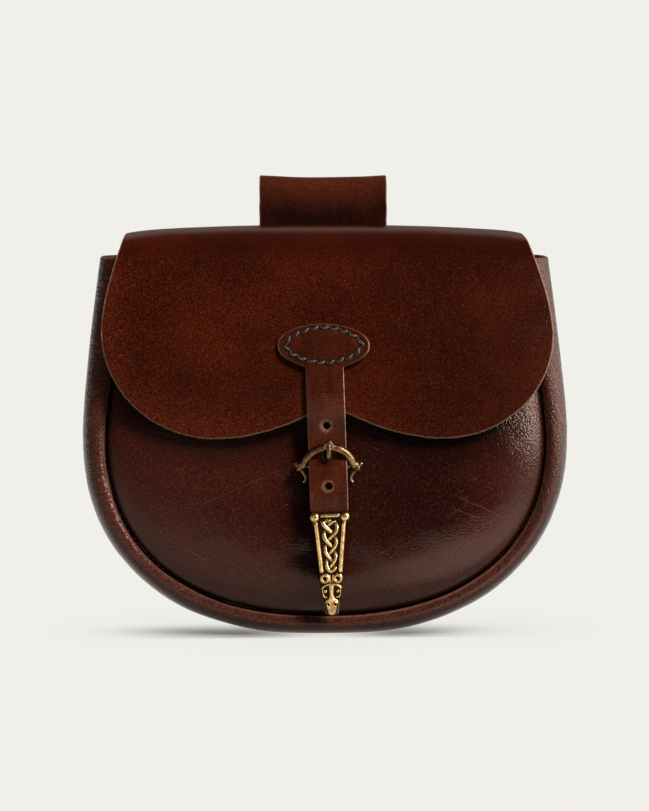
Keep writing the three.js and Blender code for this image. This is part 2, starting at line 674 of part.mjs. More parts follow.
// Finishes
const grainedLeather = new THREE.MeshStandardMaterial({ color: "#4a1d10", roughness: 0.5, metalness: 0 });
const smoothLeather = new THREE.MeshStandardMaterial({ color: "#331510", roughness: 0.4, metalness: 0 });
const strapLeather = new THREE.MeshStandardMaterial({ color: "#401a12", roughness: 0.45, metalness: 0 });
const goldenBrass = new THREE.MeshStandardMaterial({ color: "#a9843c", roughness: 0.3, metalness: 1 });
const darkBronze = new THREE.MeshStandardMaterial({ color: "#7c6846", roughness: 0.4, metalness: 1 });

function named(name, geometry, material) {
  const mesh = new THREE.Mesh(geometry, material);
  mesh.name = name;
  return mesh;
}

const bag = new THREE.Group();
bag.add(named("back_and_flap", backFlapGeometry(), grainedLeather));
bag.add(named("front_panel", frontPanelGeometry(), smoothLeather));
bag.add(named("gusset", gussetGeometry(), smoothLeather));
bag.add(named("belt_loop", beltLoopGeometry(), grainedLeather));
bag.add(named("closing_strap", strapGeometry(), strapLeather));
bag.add(named("buckle_tab", buckleTabGeometry(), strapLeather));
bag.add(named("buckle_tongue", tongueGeometry(), darkBronze));

const buckle = named("buckle_frame", buckleFrameGeometry(), darkBronze);
buckle.position.set(BUCKLE_X, BAR_DEPTH, BAR_HEIGHT);
buckle.rotation.x = BOW_TILT;
bag.add(buckle);

const strapEnd = named("strap_end", strapEndGeometry(), goldenBrass);
strapEnd.position.set(strapX(END_TOP_HEIGHT), strapDepth(END_TOP_HEIGHT) - STRAP_LEATHER - GAP, END_TOP_HEIGHT);
strapEnd.rotation.set(Math.atan(STRAP_HANG), -STRAP_LEAN, 0);
bag.add(strapEnd);

export default bag;
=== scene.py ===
# %% [markdown]
# # A leather belt bag
#
# The plain solids of this bag already have its true size and place. They are loaded first, as a fixed
# frame, and each one is then replaced by a piece with real leather edges, grain, thread and cast brass.

import bpy
import numpy as np
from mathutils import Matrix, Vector


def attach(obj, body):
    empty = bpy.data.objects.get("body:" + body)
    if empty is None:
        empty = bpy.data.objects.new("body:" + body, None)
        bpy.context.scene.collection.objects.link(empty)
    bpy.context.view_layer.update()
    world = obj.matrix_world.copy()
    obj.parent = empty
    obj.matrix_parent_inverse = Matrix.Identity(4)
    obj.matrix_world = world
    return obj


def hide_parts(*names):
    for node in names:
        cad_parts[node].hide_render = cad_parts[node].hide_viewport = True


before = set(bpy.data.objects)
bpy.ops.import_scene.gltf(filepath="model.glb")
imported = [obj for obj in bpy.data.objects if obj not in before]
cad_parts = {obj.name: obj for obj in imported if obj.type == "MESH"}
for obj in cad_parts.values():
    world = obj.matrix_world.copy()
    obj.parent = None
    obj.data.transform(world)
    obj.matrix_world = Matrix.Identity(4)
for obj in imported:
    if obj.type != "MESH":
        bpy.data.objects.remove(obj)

scene = bpy.context.scene
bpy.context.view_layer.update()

# %% [markdown]
# ## Camera
#
# The bag is seen from a little above and a touch to its left, through a long lens that keeps its sides
# upright. A camera can be placed by hand, but here it is worked out: a point to look at, two angles, a
# distance, and the height of the picture at that distance, which gives the focal length.

# %% Camera
TARGET = Vector((0, 0, 0.0875))
DISTANCE = 1.3
METRES_PER_PIXEL = 0.00039
PICTURE_HEIGHT = 811
SENSOR = 36


def from_bag(azimuth, elevation):
    """The direction of something seen from the bag at two angles; azimuth 0 is straight in front."""
    a, e = np.radians(azimuth), np.radians(elevation)
    return Vector((np.sin(a) * np.cos(e), -np.cos(a) * np.cos(e), np.sin(e)))


def placed(name, data):
    """A new object in the scene."""
    thing = bpy.data.objects.new(name, data)
    scene.collection.objects.link(thing)
    return thing


backwards = from_bag(-2, 5)
camera = placed("camera", bpy.data.cameras.new("camera"))
camera.data.sensor_width = SENSOR
camera.data.lens = SENSOR * DISTANCE / (PICTURE_HEIGHT * METRES_PER_PIXEL)
camera.location = TARGET + DISTANCE * backwards
camera.rotation_euler = backwards.to_track_quat("Z", "Y").to_euler()
scene.camera = camera
print("focal length in mm:", round(camera.data.lens, 1))

# %% [markdown]
# ## Nodes written as formulas
#
# Every finish below is a small formula of noise, distance and height. Wiring such a formula by hand in
# the node editor is slow to read back, so two small classes do it: a `Signal` is one output socket that
# can be added, multiplied and compared, and `Nodes` adds any other node from its type, its settings and
# what goes into its sockets.

# %% Signals
class Signal:
    """One output socket. Each operator on it adds one Math node and gives that node's output."""

    def __init__(self, nodes, socket):
        self.nodes = nodes
        self.socket = socket

    def math(self, operation, first, second):
        return self.nodes.node("ShaderNodeMath", {"operation": operation}, {0: first, 1: second})

    def __add__(self, other):
        return self.math("ADD", self, other)

    def __sub__(self, other):
        return self.math("SUBTRACT", self, other)

    def __rsub__(self, other):
        return self.math("SUBTRACT", other, self)

    def __mul__(self, other):
        return self.math("MULTIPLY", self, other)

    __radd__ = __add__
    __rmul__ = __mul__

    def over(self, other):
        """The larger of two values."""
        return self.math("MAXIMUM", self, other)

    def between(self, low, high):
        """0 below low, 1 above high, and a smooth step from one to the other."""
        settings = {"interpolation_type": "SMOOTHSTEP"}
        return self.nodes.node("ShaderNodeMapRange", settings, {"Value": self, 1: low, 2: high})


print("besides operators, a signal has", [name for name in vars(Signal) if name[0] != "_"])

# %% Nodes
class Nodes:
    """A node tree that is filled by one method, and a few short names for the nodes used most."""

    def __init__(self, tree):
        self.tree = tree
        tree.nodes.clear()

    def node(self, kind, settings=None, sockets=None, output=0):
        made = self.tree.nodes.new(kind)
        for name, value in (settings or {}).items():
            setattr(made, name, value)
        for name, value in (sockets or {}).items():
            if isinstance(value, Signal):
                self.tree.links.new(value.socket, made.inputs[name])
            else:
                made.inputs[name].default_value = value
        return Signal(self, made.outputs[output]) if made.outputs else made

    def place(self):
        """A point of the piece, in metres."""
        return self.node("ShaderNodeTexCoord", output="Object")

    def axis(self, where, letter):
        """One coordinate of a place."""
        return self.node("ShaderNodeSeparateXYZ", None, {"Vector": where}, letter)

    def field(self, name):
        """A value that the piece's own mesh carries."""
        return self.node("ShaderNodeAttribute", {"attribute_name": name}, output="Fac")

    def blend(self, colour, *layers):
        """A colour with others laid over it, each by its own share."""
        for over, share in layers:
            colour = self.node("ShaderNodeMix", {"data_type": "RGBA"}, {0: share, 6: colour, 7: over}, 2)
        return colour

    def noise(self, where, size, detail=2.0, output=0):
        """Cloudy noise from 0 to 1 whose lumps are about `size` metres."""
        sockets = {"Vector": where, "Scale": 1 / size, "Detail": detail}
        return self.node("ShaderNodeTexNoise", None, sockets, output)

    def cells(self, where, size):
        """Distance to the nearest of many scattered points, `size` metres apart."""
        return self.node("ShaderNodeTexVoronoi", None, {"Vector": where, "Scale": 1 / size})

    def stretched(self, where, scale, turn=(0, 0, 0)):
        """The same place, turned and then stretched by a scale on each axis."""
        mapped = self.node("ShaderNodeMapping", None, {"Vector": where, "Rotation": turn})
        return self.node("ShaderNodeVectorMath", {"operation": "MULTIPLY"}, {0: mapped, 1: scale})

    def glowing(self, colour, strength=1.0):
        """Closes the tree with a surface that only shines."""
        light = self.node("ShaderNodeEmission", None, {"Color": colour, "Strength": strength})
        self.node("ShaderNodeOutputMaterial", None, {"Surface": light})


print("short names for nodes:", [name for name in vars(Nodes) if name[0] != "_"])

# %% Materials and paint
def new_material(name):
    """An empty material and its nodes."""
    material = bpy.data.materials.new(name)
    material.use_nodes = True
    return material, Nodes(material.node_tree)


def paint(red, green, blue):
    """A colour given as 0 to 255 on the screen, as the linear numbers that a shader wants."""
    screen = np.array([red, green, blue]) / 255
    linear = np.where(screen < 0.04045, screen / 12.92, ((screen + 0.055) / 1.055) ** 2.4)
    return (*linear.tolist(), 1.0)


print("a mid grey on the screen is", round(paint(128, 128, 128)[0], 3), "in a shader")

# %% [markdown]
# ## Small tools for shapes
#
# All shapes are worked out in millimetres with whole numpy arrays, and become metres only when a mesh is
# made. A few curves come back again and again: a smooth step, a bell, a quarter-ellipse swell for
# leather that is pulled in at a seam, and a seeded ripple for the unevenness of hide.

# %% Curves
MM = 0.001


def lerp(first, second, share):
    """From one value to another by a share of the way."""
    return first + (second - first) * share


def ease(value, low, high):
    """Smooth step: 0 below low, 1 above high."""
    share = np.clip((value - low) / (high - low), 0, 1)
    return share * share * (3 - 2 * share)


def bell(value, width=1):
    """1 at nought, and falling on both sides with the square of the value over the width."""
    return np.exp(-((value / width) ** 2))


def swell(share):
    """Rises from 0 to 1 like a quarter of an ellipse: steep at the seam, level at its reach."""
    return np.sqrt(1 - (1 - np.clip(share, 0, 1)) ** 2)


def unit(vectors):
    """Vectors scaled to length one along the last axis."""
    return vectors / np.maximum(np.linalg.norm(vectors, axis=-1, keepdims=True), 1e-9)


def ripple(points, length, seed, waves=11):
    """Unevenness of about plus or minus one: a sum of sine waves with seeded directions and lengths."""
    rng = np.random.default_rng(seed)
    heading = unit(rng.normal(size=(waves, points.shape[-1])))
    number = 2 * np.pi / (length * rng.uniform(0.7, 1.6, waves))
    phase = rng.uniform(0, 2 * np.pi, waves)
    return np.sin(points @ heading.T * number + phase).sum(-1) / np.sqrt(waves)


def through(points, count):
    """A smooth path through points: on each span, the cubic whose slopes are half the neighbours' step."""
    points = np.asarray(points, float)
    ends = np.vstack([2 * points[0] - points[1], points, 2 * points[-1] - points[-2]])
    place = np.linspace(0, len(points) - 1, count)
    span = np.minimum(place.astype(int), len(points) - 2)
    f = (place - span)[:, None]
    a, b, c, d = (ends[span + k] for k in range(4))
    return b + f / 2 * (c - a + f * (2 * a - 5 * b + 4 * c - d + f * (3 * (b - c) + d - a)))


def turned(points, first, second, angle):
    """Points turned in the plane of two axes: the first becomes its cosine part less the second's sine
    part, and the second its cosine part plus the first's sine part."""
    result = np.array(points, float)
    a, b = result[..., first].copy(), result[..., second].copy()
    result[..., first] = a * np.cos(angle) - b * np.sin(angle)
    result[..., second] = a * np.sin(angle) + b * np.cos(angle)
    return result


def chain_distance(points, chain):
    """Distance from points to the nearest straight span of a chain."""
    start, span = chain[:-1], np.diff(chain, axis=0)
    to = points[..., None, :] - start
    share = np.clip((to * span).sum(-1) / (span * span).sum(-1), 0, 1)
    return np.linalg.norm(to - share[..., None] * span, axis=-1).min(-1)


print("a swell halfway along its reach has risen to", round(float(swell(0.5)), 3))

# %% [markdown]
# ## From arrays to pieces
#
# A sheet of leather is a grid of points on its grain side. Solidify could give it thickness, but a cut
# edge of leather is worth more care: it has a small rounded corner, a flat raw face, and another corner.
# So the grid gets a few extra rows all round that roll over the edge, a second grid for the flesh side,
# and a strip between the two. Attributes say where the cut edge and the flesh side are.

# %% Mesh helpers
def read(rows, name, width, kind=np.float32):
    """One property of all points, edges or corners of a mesh, as an array."""
    values = np.empty(len(rows) * width, kind)
    rows.foreach_get(name, values)
    return values.reshape(-1, width)


def add_fields(mesh, fields):
    """Values for each point, which a material can read by their name."""
    for name, values in fields.items():
        layer = mesh.attributes.new(name, "FLOAT", "POINT")
        layer.data.foreach_set("value", np.ascontiguousarray(values, np.float32).ravel())


def make_mesh(name, points, faces, fields=None, pattern=None):
    """A smooth mesh from points in millimetres, faces, values for each point, and a flat pattern."""
    mesh = bpy.data.meshes.new(name)
    mesh.from_pydata((points * MM).tolist(), [], [row for block in faces for row in block.tolist()])
    mesh.validate()
    mesh.shade_smooth()
    add_fields(mesh, fields or {})
    if pattern is not None:
        corner = read(mesh.loops, "vertex_index", 1, np.int32)[:, 0]
        layer = mesh.uv_layers.new(name="pattern")
        layer.data.foreach_set("uv", (pattern * MM).astype(np.float32)[corner].ravel())
    return mesh


def add_piece(name, mesh, finish, node=None):
    """Links a finished mesh as a piece of the bag; it stands for a solid where one is named."""
    piece = placed(name, mesh)
    mesh.materials.append(finish)
    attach(piece, "root")
    if node:
        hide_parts(node)
    mesh.calc_loop_triangles()
    print(name, "has", len(mesh.loop_triangles), "triangles")
    return piece


print("one step of a shape is", MM, "m in a mesh")

# %% Grid helpers
def grid_of(*coordinates):
    """Points from their coordinates, each of which may be a grid, a row, a column or one number."""
    return np.stack(np.broadcast_arrays(*coordinates), -1)


def joined(index):
    """Faces of a grid of point numbers: each joins a point, the next row's, and both neighbours."""
    corners = [index[:-1, :-1], index[1:, :-1], index[1:, 1:], index[:-1, 1:]]
    return np.stack(corners, -1).reshape(-1, 4)


def grid_quads(rows, columns, start=0):
    """Faces of a grid whose points are numbered row by row."""
    return joined(start + np.arange(rows * columns).reshape(rows, columns))


def grid_rim(rows, columns):
    """The numbers of the points round the edge of a grid, and the same one step on."""
    index = np.arange(rows * columns).reshape(rows, columns)
    rim = np.concatenate([index[0, :-1], index[:-1, -1], index[-1, :0:-1], index[:0:-1, 0]])
    return rim, np.roll(rim, -1)


def grid_normals(grid):
    """The direction out of the grain side: the slope along the grid crossed with the slope across. At a
    corner of the grid on a round edge both slopes run the same way, so its inner neighbour's is taken."""
    slopes = [np.gradient(grid, axis=k, edge_order=2) for k in (0, 1)]
    normal = unit(np.cross(*slopes))
    ends = np.array([0, 0, -1, -1]), np.array([0, -1, 0, -1])
    normal[ends] = normal[1:-1, 1:-1][ends]
    return normal


def raised(grid, amount):
    """A grid moved out along its normals."""
    return grid + grid_normals(grid) * amount[..., None]


print("a grid of 3 by 4 points has", len(grid_quads(3, 4)), "faces")

# %% Leather sheet
CUT_SPREAD = 1.4


def edge_directions(middle, normal):
    """The way out of a sheet at its first and last rows, and at its first and last columns."""
    lead, tail = np.zeros_like(middle), np.zeros_like(middle)
    first, last = np.gradient(middle, axis=1), np.gradient(middle, axis=0)
    lead[0], lead[-1] = -np.cross(first[0], normal[0]), np.cross(first[-1], normal[-1])
    tail[:, 0], tail[:, -1] = -np.cross(normal[:, 0], last[:, 0]), np.cross(normal[:, -1], last[:, -1])
    return unit(lead), unit(tail)


def leather_sheet(name, grid, thickness, corner, rows=3, fields=None):
    """A closed sheet of leather. Rows beyond the grid's edge run outwards by the sine of a growing angle
    and sink by one less its cosine, so the corner is round; a flat strip joins grain and flesh side."""

    def widened(values):
        """A grid with the rows added all round, which repeat its edge."""
        margin = ((rows, rows), (rows, rows), (0, 0))
        return np.pad(values, margin[:values.ndim], mode="edge")

    def beyond(size):
        """How many rows past the edge each row of the widened grid lies."""
        row = np.arange(size + 2 * rows)
        return np.maximum(rows - row, row - size - rows + 1).clip(0)

    normal = grid_normals(grid)
    middle = grid - normal * thickness / 2
    lead, tail = (widened(way) for way in edge_directions(middle, normal))
    past_lead, past_tail = np.meshgrid(*(beyond(size) for size in grid.shape[:2]), indexing="ij")
    angle = np.maximum(past_lead, past_tail) * (np.pi / 2 / rows)
    way = unit(lead * past_lead[..., None] + tail * past_tail[..., None])
    spread = widened(middle) + way * (corner * np.sin(angle))[..., None]
    half = (thickness / 2 - corner * (1 - np.cos(angle)))[..., None] * widened(normal)
    points = np.concatenate([(spread + half).reshape(-1, 3), (spread - half).reshape(-1, 3)])

    size = angle.size
    rim, following = grid_rim(*angle.shape)
    faces = [
        grid_quads(*angle.shape),
        grid_quads(*angle.shape, size)[:, ::-1],
        np.stack([rim, following, following + size, rim + size], -1),
    ]
    cut = np.clip(angle / (np.pi / 2) * CUT_SPREAD, 0, 1).ravel()
    values = {"cut": np.tile(cut, 2), "flesh": np.repeat([0.0, 1.0], size)}
    for field, value in (fields or {}).items():
        values[field] = np.tile(widened(value).ravel(), 2)
    steps = (np.diff(spread, axis=k, prepend=np.take(spread, [0], k)) for k in (0, 1))
    runs = [np.cumsum(np.linalg.norm(step, axis=-1), axis=k) for k, step in enumerate(steps)]
    return make_mesh(name, points, faces, values, np.tile(np.stack(runs, -1).reshape(-1, 2), (2, 1)))


print("cut edges turn pale over", round(1 / CUT_SPREAD, 2), "of their corner")

# %% [markdown]
# ## Studio
#
# The bag stands on a bright, seamless ground, but its leather is dark, so most of what is seen on it is
# reflection. A photographer hangs dark cloth in front and overhead, so that the hide keeps its deep
# colour, and lets one lamp from the right draw the edges and throw short shadows to the left. The same
# is done here. Backdrop, cloth and cards shine by themselves, and each is seen by the camera only or in
# reflections only, so that one can be changed without spoiling another. A card lies low in front, so that
# the belly isn't lost in the dark, and a weak sun from behind keeps the back readable when it is turned.

# %% Room and backdrop
WHITE = paint(240, 239, 234)
ROOM_LIGHT = 0.25
FAR = 60000.0
SQUARE = np.array([(-1, -1), (1, -1), (1, 1), (-1, 1)]).T
BOX_FROM_INSIDE = np.array(
    [[0, 1, 2, 3], [4, 7, 6, 5], [0, 4, 5, 1], [1, 5, 6, 2], [2, 6, 7, 3], [3, 7, 4, 0]])
RAYS = ("camera", "diffuse", "glossy", "transmission", "volume_scatter", "shadow")

scene.view_settings.view_transform = "Standard"
world = bpy.data.worlds.new("studio")
world.use_nodes = True
scene.world = world
sky = Nodes(world.node_tree)
room = sky.node("ShaderNodeBackground", None, {"Color": WHITE, "Strength": ROOM_LIGHT})
sky.node("ShaderNodeOutputWorld", None, {"Surface": room})


def studio_sheet(name, points, faces, fields=None):
    """A sheet of the studio, which isn't part of the bag, and the nodes of its material."""
    mesh = make_mesh(name, points, faces, fields)
    sheet = placed(name, mesh)
    material, nodes = new_material(name)
    mesh.materials.append(material)
    return sheet, nodes


def shining_sheet(name, points, faces, glow, colour, seen_by):
    """A sheet that shines by a given amount at each point, for one kind of ray only."""
    sheet, nodes = studio_sheet(name, points, faces, {"glow": glow})
    nodes.glowing(colour, nodes.field("glow"))
    for ray in RAYS:
        setattr(sheet, "visible_" + ray, ray == seen_by)
    print(name, "shines from", round(float(glow.min()), 3), "to", round(float(glow.max()), 3))


room_corners = FAR * grid_of(*SQUARE, np.array([[-1], [1]])).reshape(-1, 3)
shining_sheet("backdrop", room_corners, [BOX_FROM_INSIDE], np.ones(8), WHITE, "camera")

# %% Lamps
KEY_STRENGTH = 4.3
BACK_STRENGTH = 2.2
SOFTBOX_SIZE = (0.13, 0.6)
SOFTBOX_RADIANCE = 56.0


def add_lamp(name, kind, direction, hidden_from, settings):
    """A lamp that shines from a direction onto the bag, and that one kind of ray doesn't see."""
    lamp = placed(name, bpy.data.lights.new(name, kind))
    for setting, value in settings.items():
        setattr(lamp.data, setting, value)
    lamp.rotation_euler = direction.to_track_quat("Z", "Y").to_euler()
    setattr(lamp, "visible_" + hidden_from, False)
    return lamp


def add_panel_lamp(name, direction, distance, lift, size, radiance):
    """A flat lamp, hidden from the camera. Its power is its radiance times pi times its area."""
    wide, tall = size
    power = radiance * np.pi * wide * tall
    settings = {"shape": "RECTANGLE", "size": wide, "size_y": tall, "energy": power}
    lamp = add_lamp(name, "AREA", direction, "camera", settings)
    lamp.location = distance * direction + Vector((0, 0, lift))
    return lamp


add_lamp("key_light", "SUN", from_bag(44, 48), "glossy", {"energy": KEY_STRENGTH, "angle": np.radians(14)})
softbox = add_panel_lamp("softbox", from_bag(63, 18), 0.95, 0.06, SOFTBOX_SIZE, SOFTBOX_RADIANCE)
softbox.visible_diffuse = False
add_lamp("back_light", "SUN", from_bag(205, 22), "glossy", {"energy": BACK_STRENGTH, "angle": np.radians(30)})
print("softbox at", [round(value, 2) for value in softbox.location])

# %% Dark cloth and white cards
CLOTH_COLOUR = paint(240, 206, 192)
CLOTH_BLACK = 0.005
CLOTH_GREY = 0.43
CLOTH_FAR_SHARE = 0.24
CLOTH_HEIGHT = 450.0
CLOTH_CORNERS = [0, 390, 830]
CARD_GLOW = 3.2
LOW_CARD_GLOW = 2.9
ROOF_GLOW = 0.12
BACK_GLOW = 0.5
LOW_CARD_LEFT = 0.42
LOW_CARD_RISE = 0.58

run = np.linspace(0, CLOTH_CORNERS[-1], 84)[:, None]
wall_x, wall_y = (np.interp(run, CLOTH_CORNERS, ends) for ends in ([-300, -300, 140], [250, -140, -140]))
wall = grid_of(wall_x, wall_y, np.linspace(0, CLOTH_HEIGHT, 46))
roof = grid_of(np.linspace(-300, 300, 60)[:, None], np.linspace(-140, 600, 10), CLOTH_HEIGHT)
card = grid_of(500.0, np.linspace(-250, 350, 10)[:, None], np.linspace(0, 500, 10))
low_card = grid_of(np.linspace(-200, 200, 40)[:, None], np.linspace(-115, -42, 10), 0.5)
low_left = (1 - ease(wall[..., 0], -60, 30)) * (1 - ease(wall[..., 2], 75, 115))
far_left = CLOTH_FAR_SHARE * ease(-wall[..., 0], 200, 260)
to_right = LOW_CARD_LEFT + LOW_CARD_RISE * ease(low_card[..., 0], 0, 70)
for name, sheet, glow, colour in (
    ("cloth_wall", wall, CLOTH_BLACK + CLOTH_GREY * np.maximum(low_left, far_left), CLOTH_COLOUR),
    ("cloth_roof", roof, ROOF_GLOW + BACK_GLOW * ease(roof[..., 1], 150, 350), CLOTH_COLOUR),
    ("side_card", card, np.full(card.shape[:2], CARD_GLOW), WHITE),
    ("low_card", low_card, LOW_CARD_GLOW * to_right, WHITE),
):
    shining_sheet(name, sheet.reshape(-1, 3), [grid_quads(*sheet.shape[:2])], glow.ravel(), colour, "glossy")

# %% Floor
FLOOR_PAINTED_SHADOW = paint(84, 82, 78)
FLOOR_HEIGHT = -0.2
CONTACT_REACH = 0.045

floor, nodes = studio_sheet("floor", grid_of(*(FAR * SQUARE), FLOOR_HEIGHT), [np.array([[0, 1, 2, 3]])])
place = nodes.place()
sideways, depth = nodes.axis(place, "X"), nodes.axis(place, "Y")
# Painted shadow: the evenly shining floor is darkened where the bag closes it in, most under the front half
# of its foot and less to the right.
closed = 1 - nodes.node("ShaderNodeAmbientOcclusion", None, {"Distance": CONTACT_REACH}, "AO")
off_middle = sideways.over(sideways * -1).between(0.0, 0.035)
painted_shadow = closed.between(0.2, 0.85) * depth.between(0.016, -0.012) * depth.between(-0.026, -0.021)
painted_shadow = painted_shadow * (0.15 + off_middle * 0.85) * (1 - sideways.between(0.02, 0.07) * 0.8)
nodes.glowing(nodes.blend(WHITE, (FLOOR_PAINTED_SHADOW, painted_shadow * 0.8 + closed * 0.1)))
floor.visible_diffuse = False
print("floor reaches", FAR * MM, "m")

# %% [markdown]
# ## Leather finishes
#
# Three leathers are used. The flap, the back and the belt loop are firm hide with a pebbled grain, dyed
# red-brown and rubbed a little orange. The pouch is thinner, darker and smoother, with fine wrinkles.
# The strap is a middle brown. In each, colour, gloss and relief come from the same few noises, so that a
# pore is darker and duller and a worn edge paler, as on real hide.

# %% Leather base
LEATHER_SHADER = {"Specular IOR Level": 0.32, "Specular Tint": (1.0, 0.68, 0.57, 1.0)}


def finish(name, settings):
    """A new material: its nodes, a place on the piece, and a function that feeds its shader."""
    material, nodes = new_material(name)

    def close(colour, roughness, relief, depth, strength=1.0):
        """Sets colour, roughness and a relief of so many metres, and closes the material."""
        bump = nodes.node("ShaderNodeBump", None, {"Height": relief, "Distance": depth, "Strength": strength})
        feeds = {"Base Color": colour, "Roughness": roughness, "Normal": bump}
        shader = nodes.node("ShaderNodeBsdfPrincipled", None, {**settings, **feeds})
        nodes.node("ShaderNodeOutputMaterial", None, {"Surface": shader})
        print(name, "uses", len(nodes.tree.nodes), "nodes")
        return material

    return nodes, nodes.place(), close


def raw_leather(nodes, place, dyed, cut, flesh, edge_colour, flesh_colour):
    """Dyed grain side, tan fibres at a cut edge, and a plain brown flesh side."""
    fibres = nodes.noise(place, 0.0006, 3.0)
    edge = nodes.blend(edge_colour, (dyed, fibres.between(0.35, 0.75) * 0.8))
    patches = nodes.noise(place, 0.004, 4.0).between(0.45, 0.9)
    nap = nodes.blend(flesh_colour, (edge_colour, patches * 0.4))
    return nodes.blend(dyed, (nap, flesh), (edge, cut))


print("reflections on leather are tinted", LEATHER_SHADER["Specular Tint"][:3])

# %% Grained leather
def grained_leather(name, deep, warm, edge_colour):
    """Pebbles are scattered cells a little over half a millimetre apart, broken by finer noise. They are
    calmed where the hide is stretched over the crest, which is painted darker there as shade. The colour
    is paler where it is rubbed and where light is painted on, and pale flecks on the pebbles are painted
    glints."""
    nodes, place, close = finish(name, {**LEATHER_SHADER, "Specular IOR Level": 0.2})
    cut, flesh, calm_and_shade, wear_and_painted_light = map(nodes.field, ("cut", "flesh", "calm_and_shade", "wear_and_painted_light"))

    wander = {0: nodes.noise(place, 0.0012, 2.0, "Color"), 1: (0.0008,) * 3, 2: place}
    pebble = nodes.cells(nodes.node("ShaderNodeVectorMath", {"operation": "MULTIPLY_ADD"}, wander), 0.00065)
    fine = nodes.noise(place, 0.00048, 2.0)
    rough = 1 - calm_and_shade * 0.8
    cloud = nodes.noise(place, 0.03, 3.0)
    mottle = nodes.noise(place, 0.006, 3.0)
    warmth = cloud.between(0.35, 0.7) * 0.45 - 0.08 + mottle.between(0.35, 0.75) * 0.15
    pores = pebble.between(0.4, 0.75) * rough
    painted_glints = (fine - pebble * 0.35).between(0.36, 0.56) * rough
    dyed = nodes.blend(
        deep,
        # Paler where the hide is rubbed and where light is painted on; darker on the upper fold as painted
        # shade.
        (warm, warmth + wear_and_painted_light * 0.5 - calm_and_shade * 0.15),
        (paint(20, 5, 3), pores * 0.55),
        # Painted glints: pale flecks on the pebble tops.
        (paint(132, 72, 50), painted_glints * (0.19 + wear_and_painted_light * 0.16)),
        # Painted shade on the upper fold, and on the whole belt loop.
        (paint(36, 9, 5), calm_and_shade * 0.45),
    )
    colour = raw_leather(nodes, place, dyed, cut, flesh, edge_colour, paint(92, 54, 36))
    gloss = 0.17 + mottle * 0.06 + pores * 0.1 + cut.over(flesh) * 0.5
    return close(colour, gloss, ((1 - pebble) * 0.6 + fine * 0.7) * rough, 0.00012)


flap_leather = grained_leather("flap_leather", paint(49, 11, 3), paint(82, 26, 7), paint(200, 154, 118))
loop_leather = grained_leather("loop_leather", paint(30, 11, 7), paint(88, 38, 19), paint(150, 108, 82))

# %% Scratches
HAIRLINES = [((0.059, 0.0505), 0.021, -25), ((0.055, 0.0475), 0.012, -22), ((0.058, 0.041), 0.022, 35)]
HAIRLINE_HALF_WIDTH = 0.00022
HAIRLINE_BEND = 4
HAIRLINE_WANDER = 0.0008


def fine_scratches(nodes, place):
    """Noise stretched fiftyfold along two directions and cut off high, in a few patches only."""
    marks = []
    for turn in (-28, 22):
        streaks = nodes.stretched(place, (0.02, 1.0, 1.0), (0, np.radians(turn), 0))
        marks.append(nodes.noise(streaks, 0.0007, 1.0).between(0.69, 0.78))
    return nodes.noise(place, 0.03).between(0.42, 0.6) * marks[0].over(marks[1])


def hairline(nodes, place, wrinkles, centre, length, turn):
    """One scratch on the front, by its middle, length and turn: the bag is turned until the scratch lies
    level, and the mark fades with the square of the distance off the line and along it."""
    angle = np.radians(turn)
    middle = turned((centre[0], 0.0, centre[1]), 0, 2, -angle)
    sockets = {0: nodes.stretched(place, (1, 1, 1), (0, angle, 0)), 1: middle}
    line = nodes.node("ShaderNodeVectorMath", {"operation": "SUBTRACT"}, sockets)
    along, off = nodes.axis(line, "X"), nodes.axis(line, "Z")
    off = off + along * along * HAIRLINE_BEND + (wrinkles - 0.5) * HAIRLINE_WANDER
    near = (off * off).between(HAIRLINE_HALF_WIDTH ** 2, 0)
    return near * (along * along).between((length / 2) ** 2, (length / 4) ** 2)


print(len(HAIRLINES), "long scratches on the front")

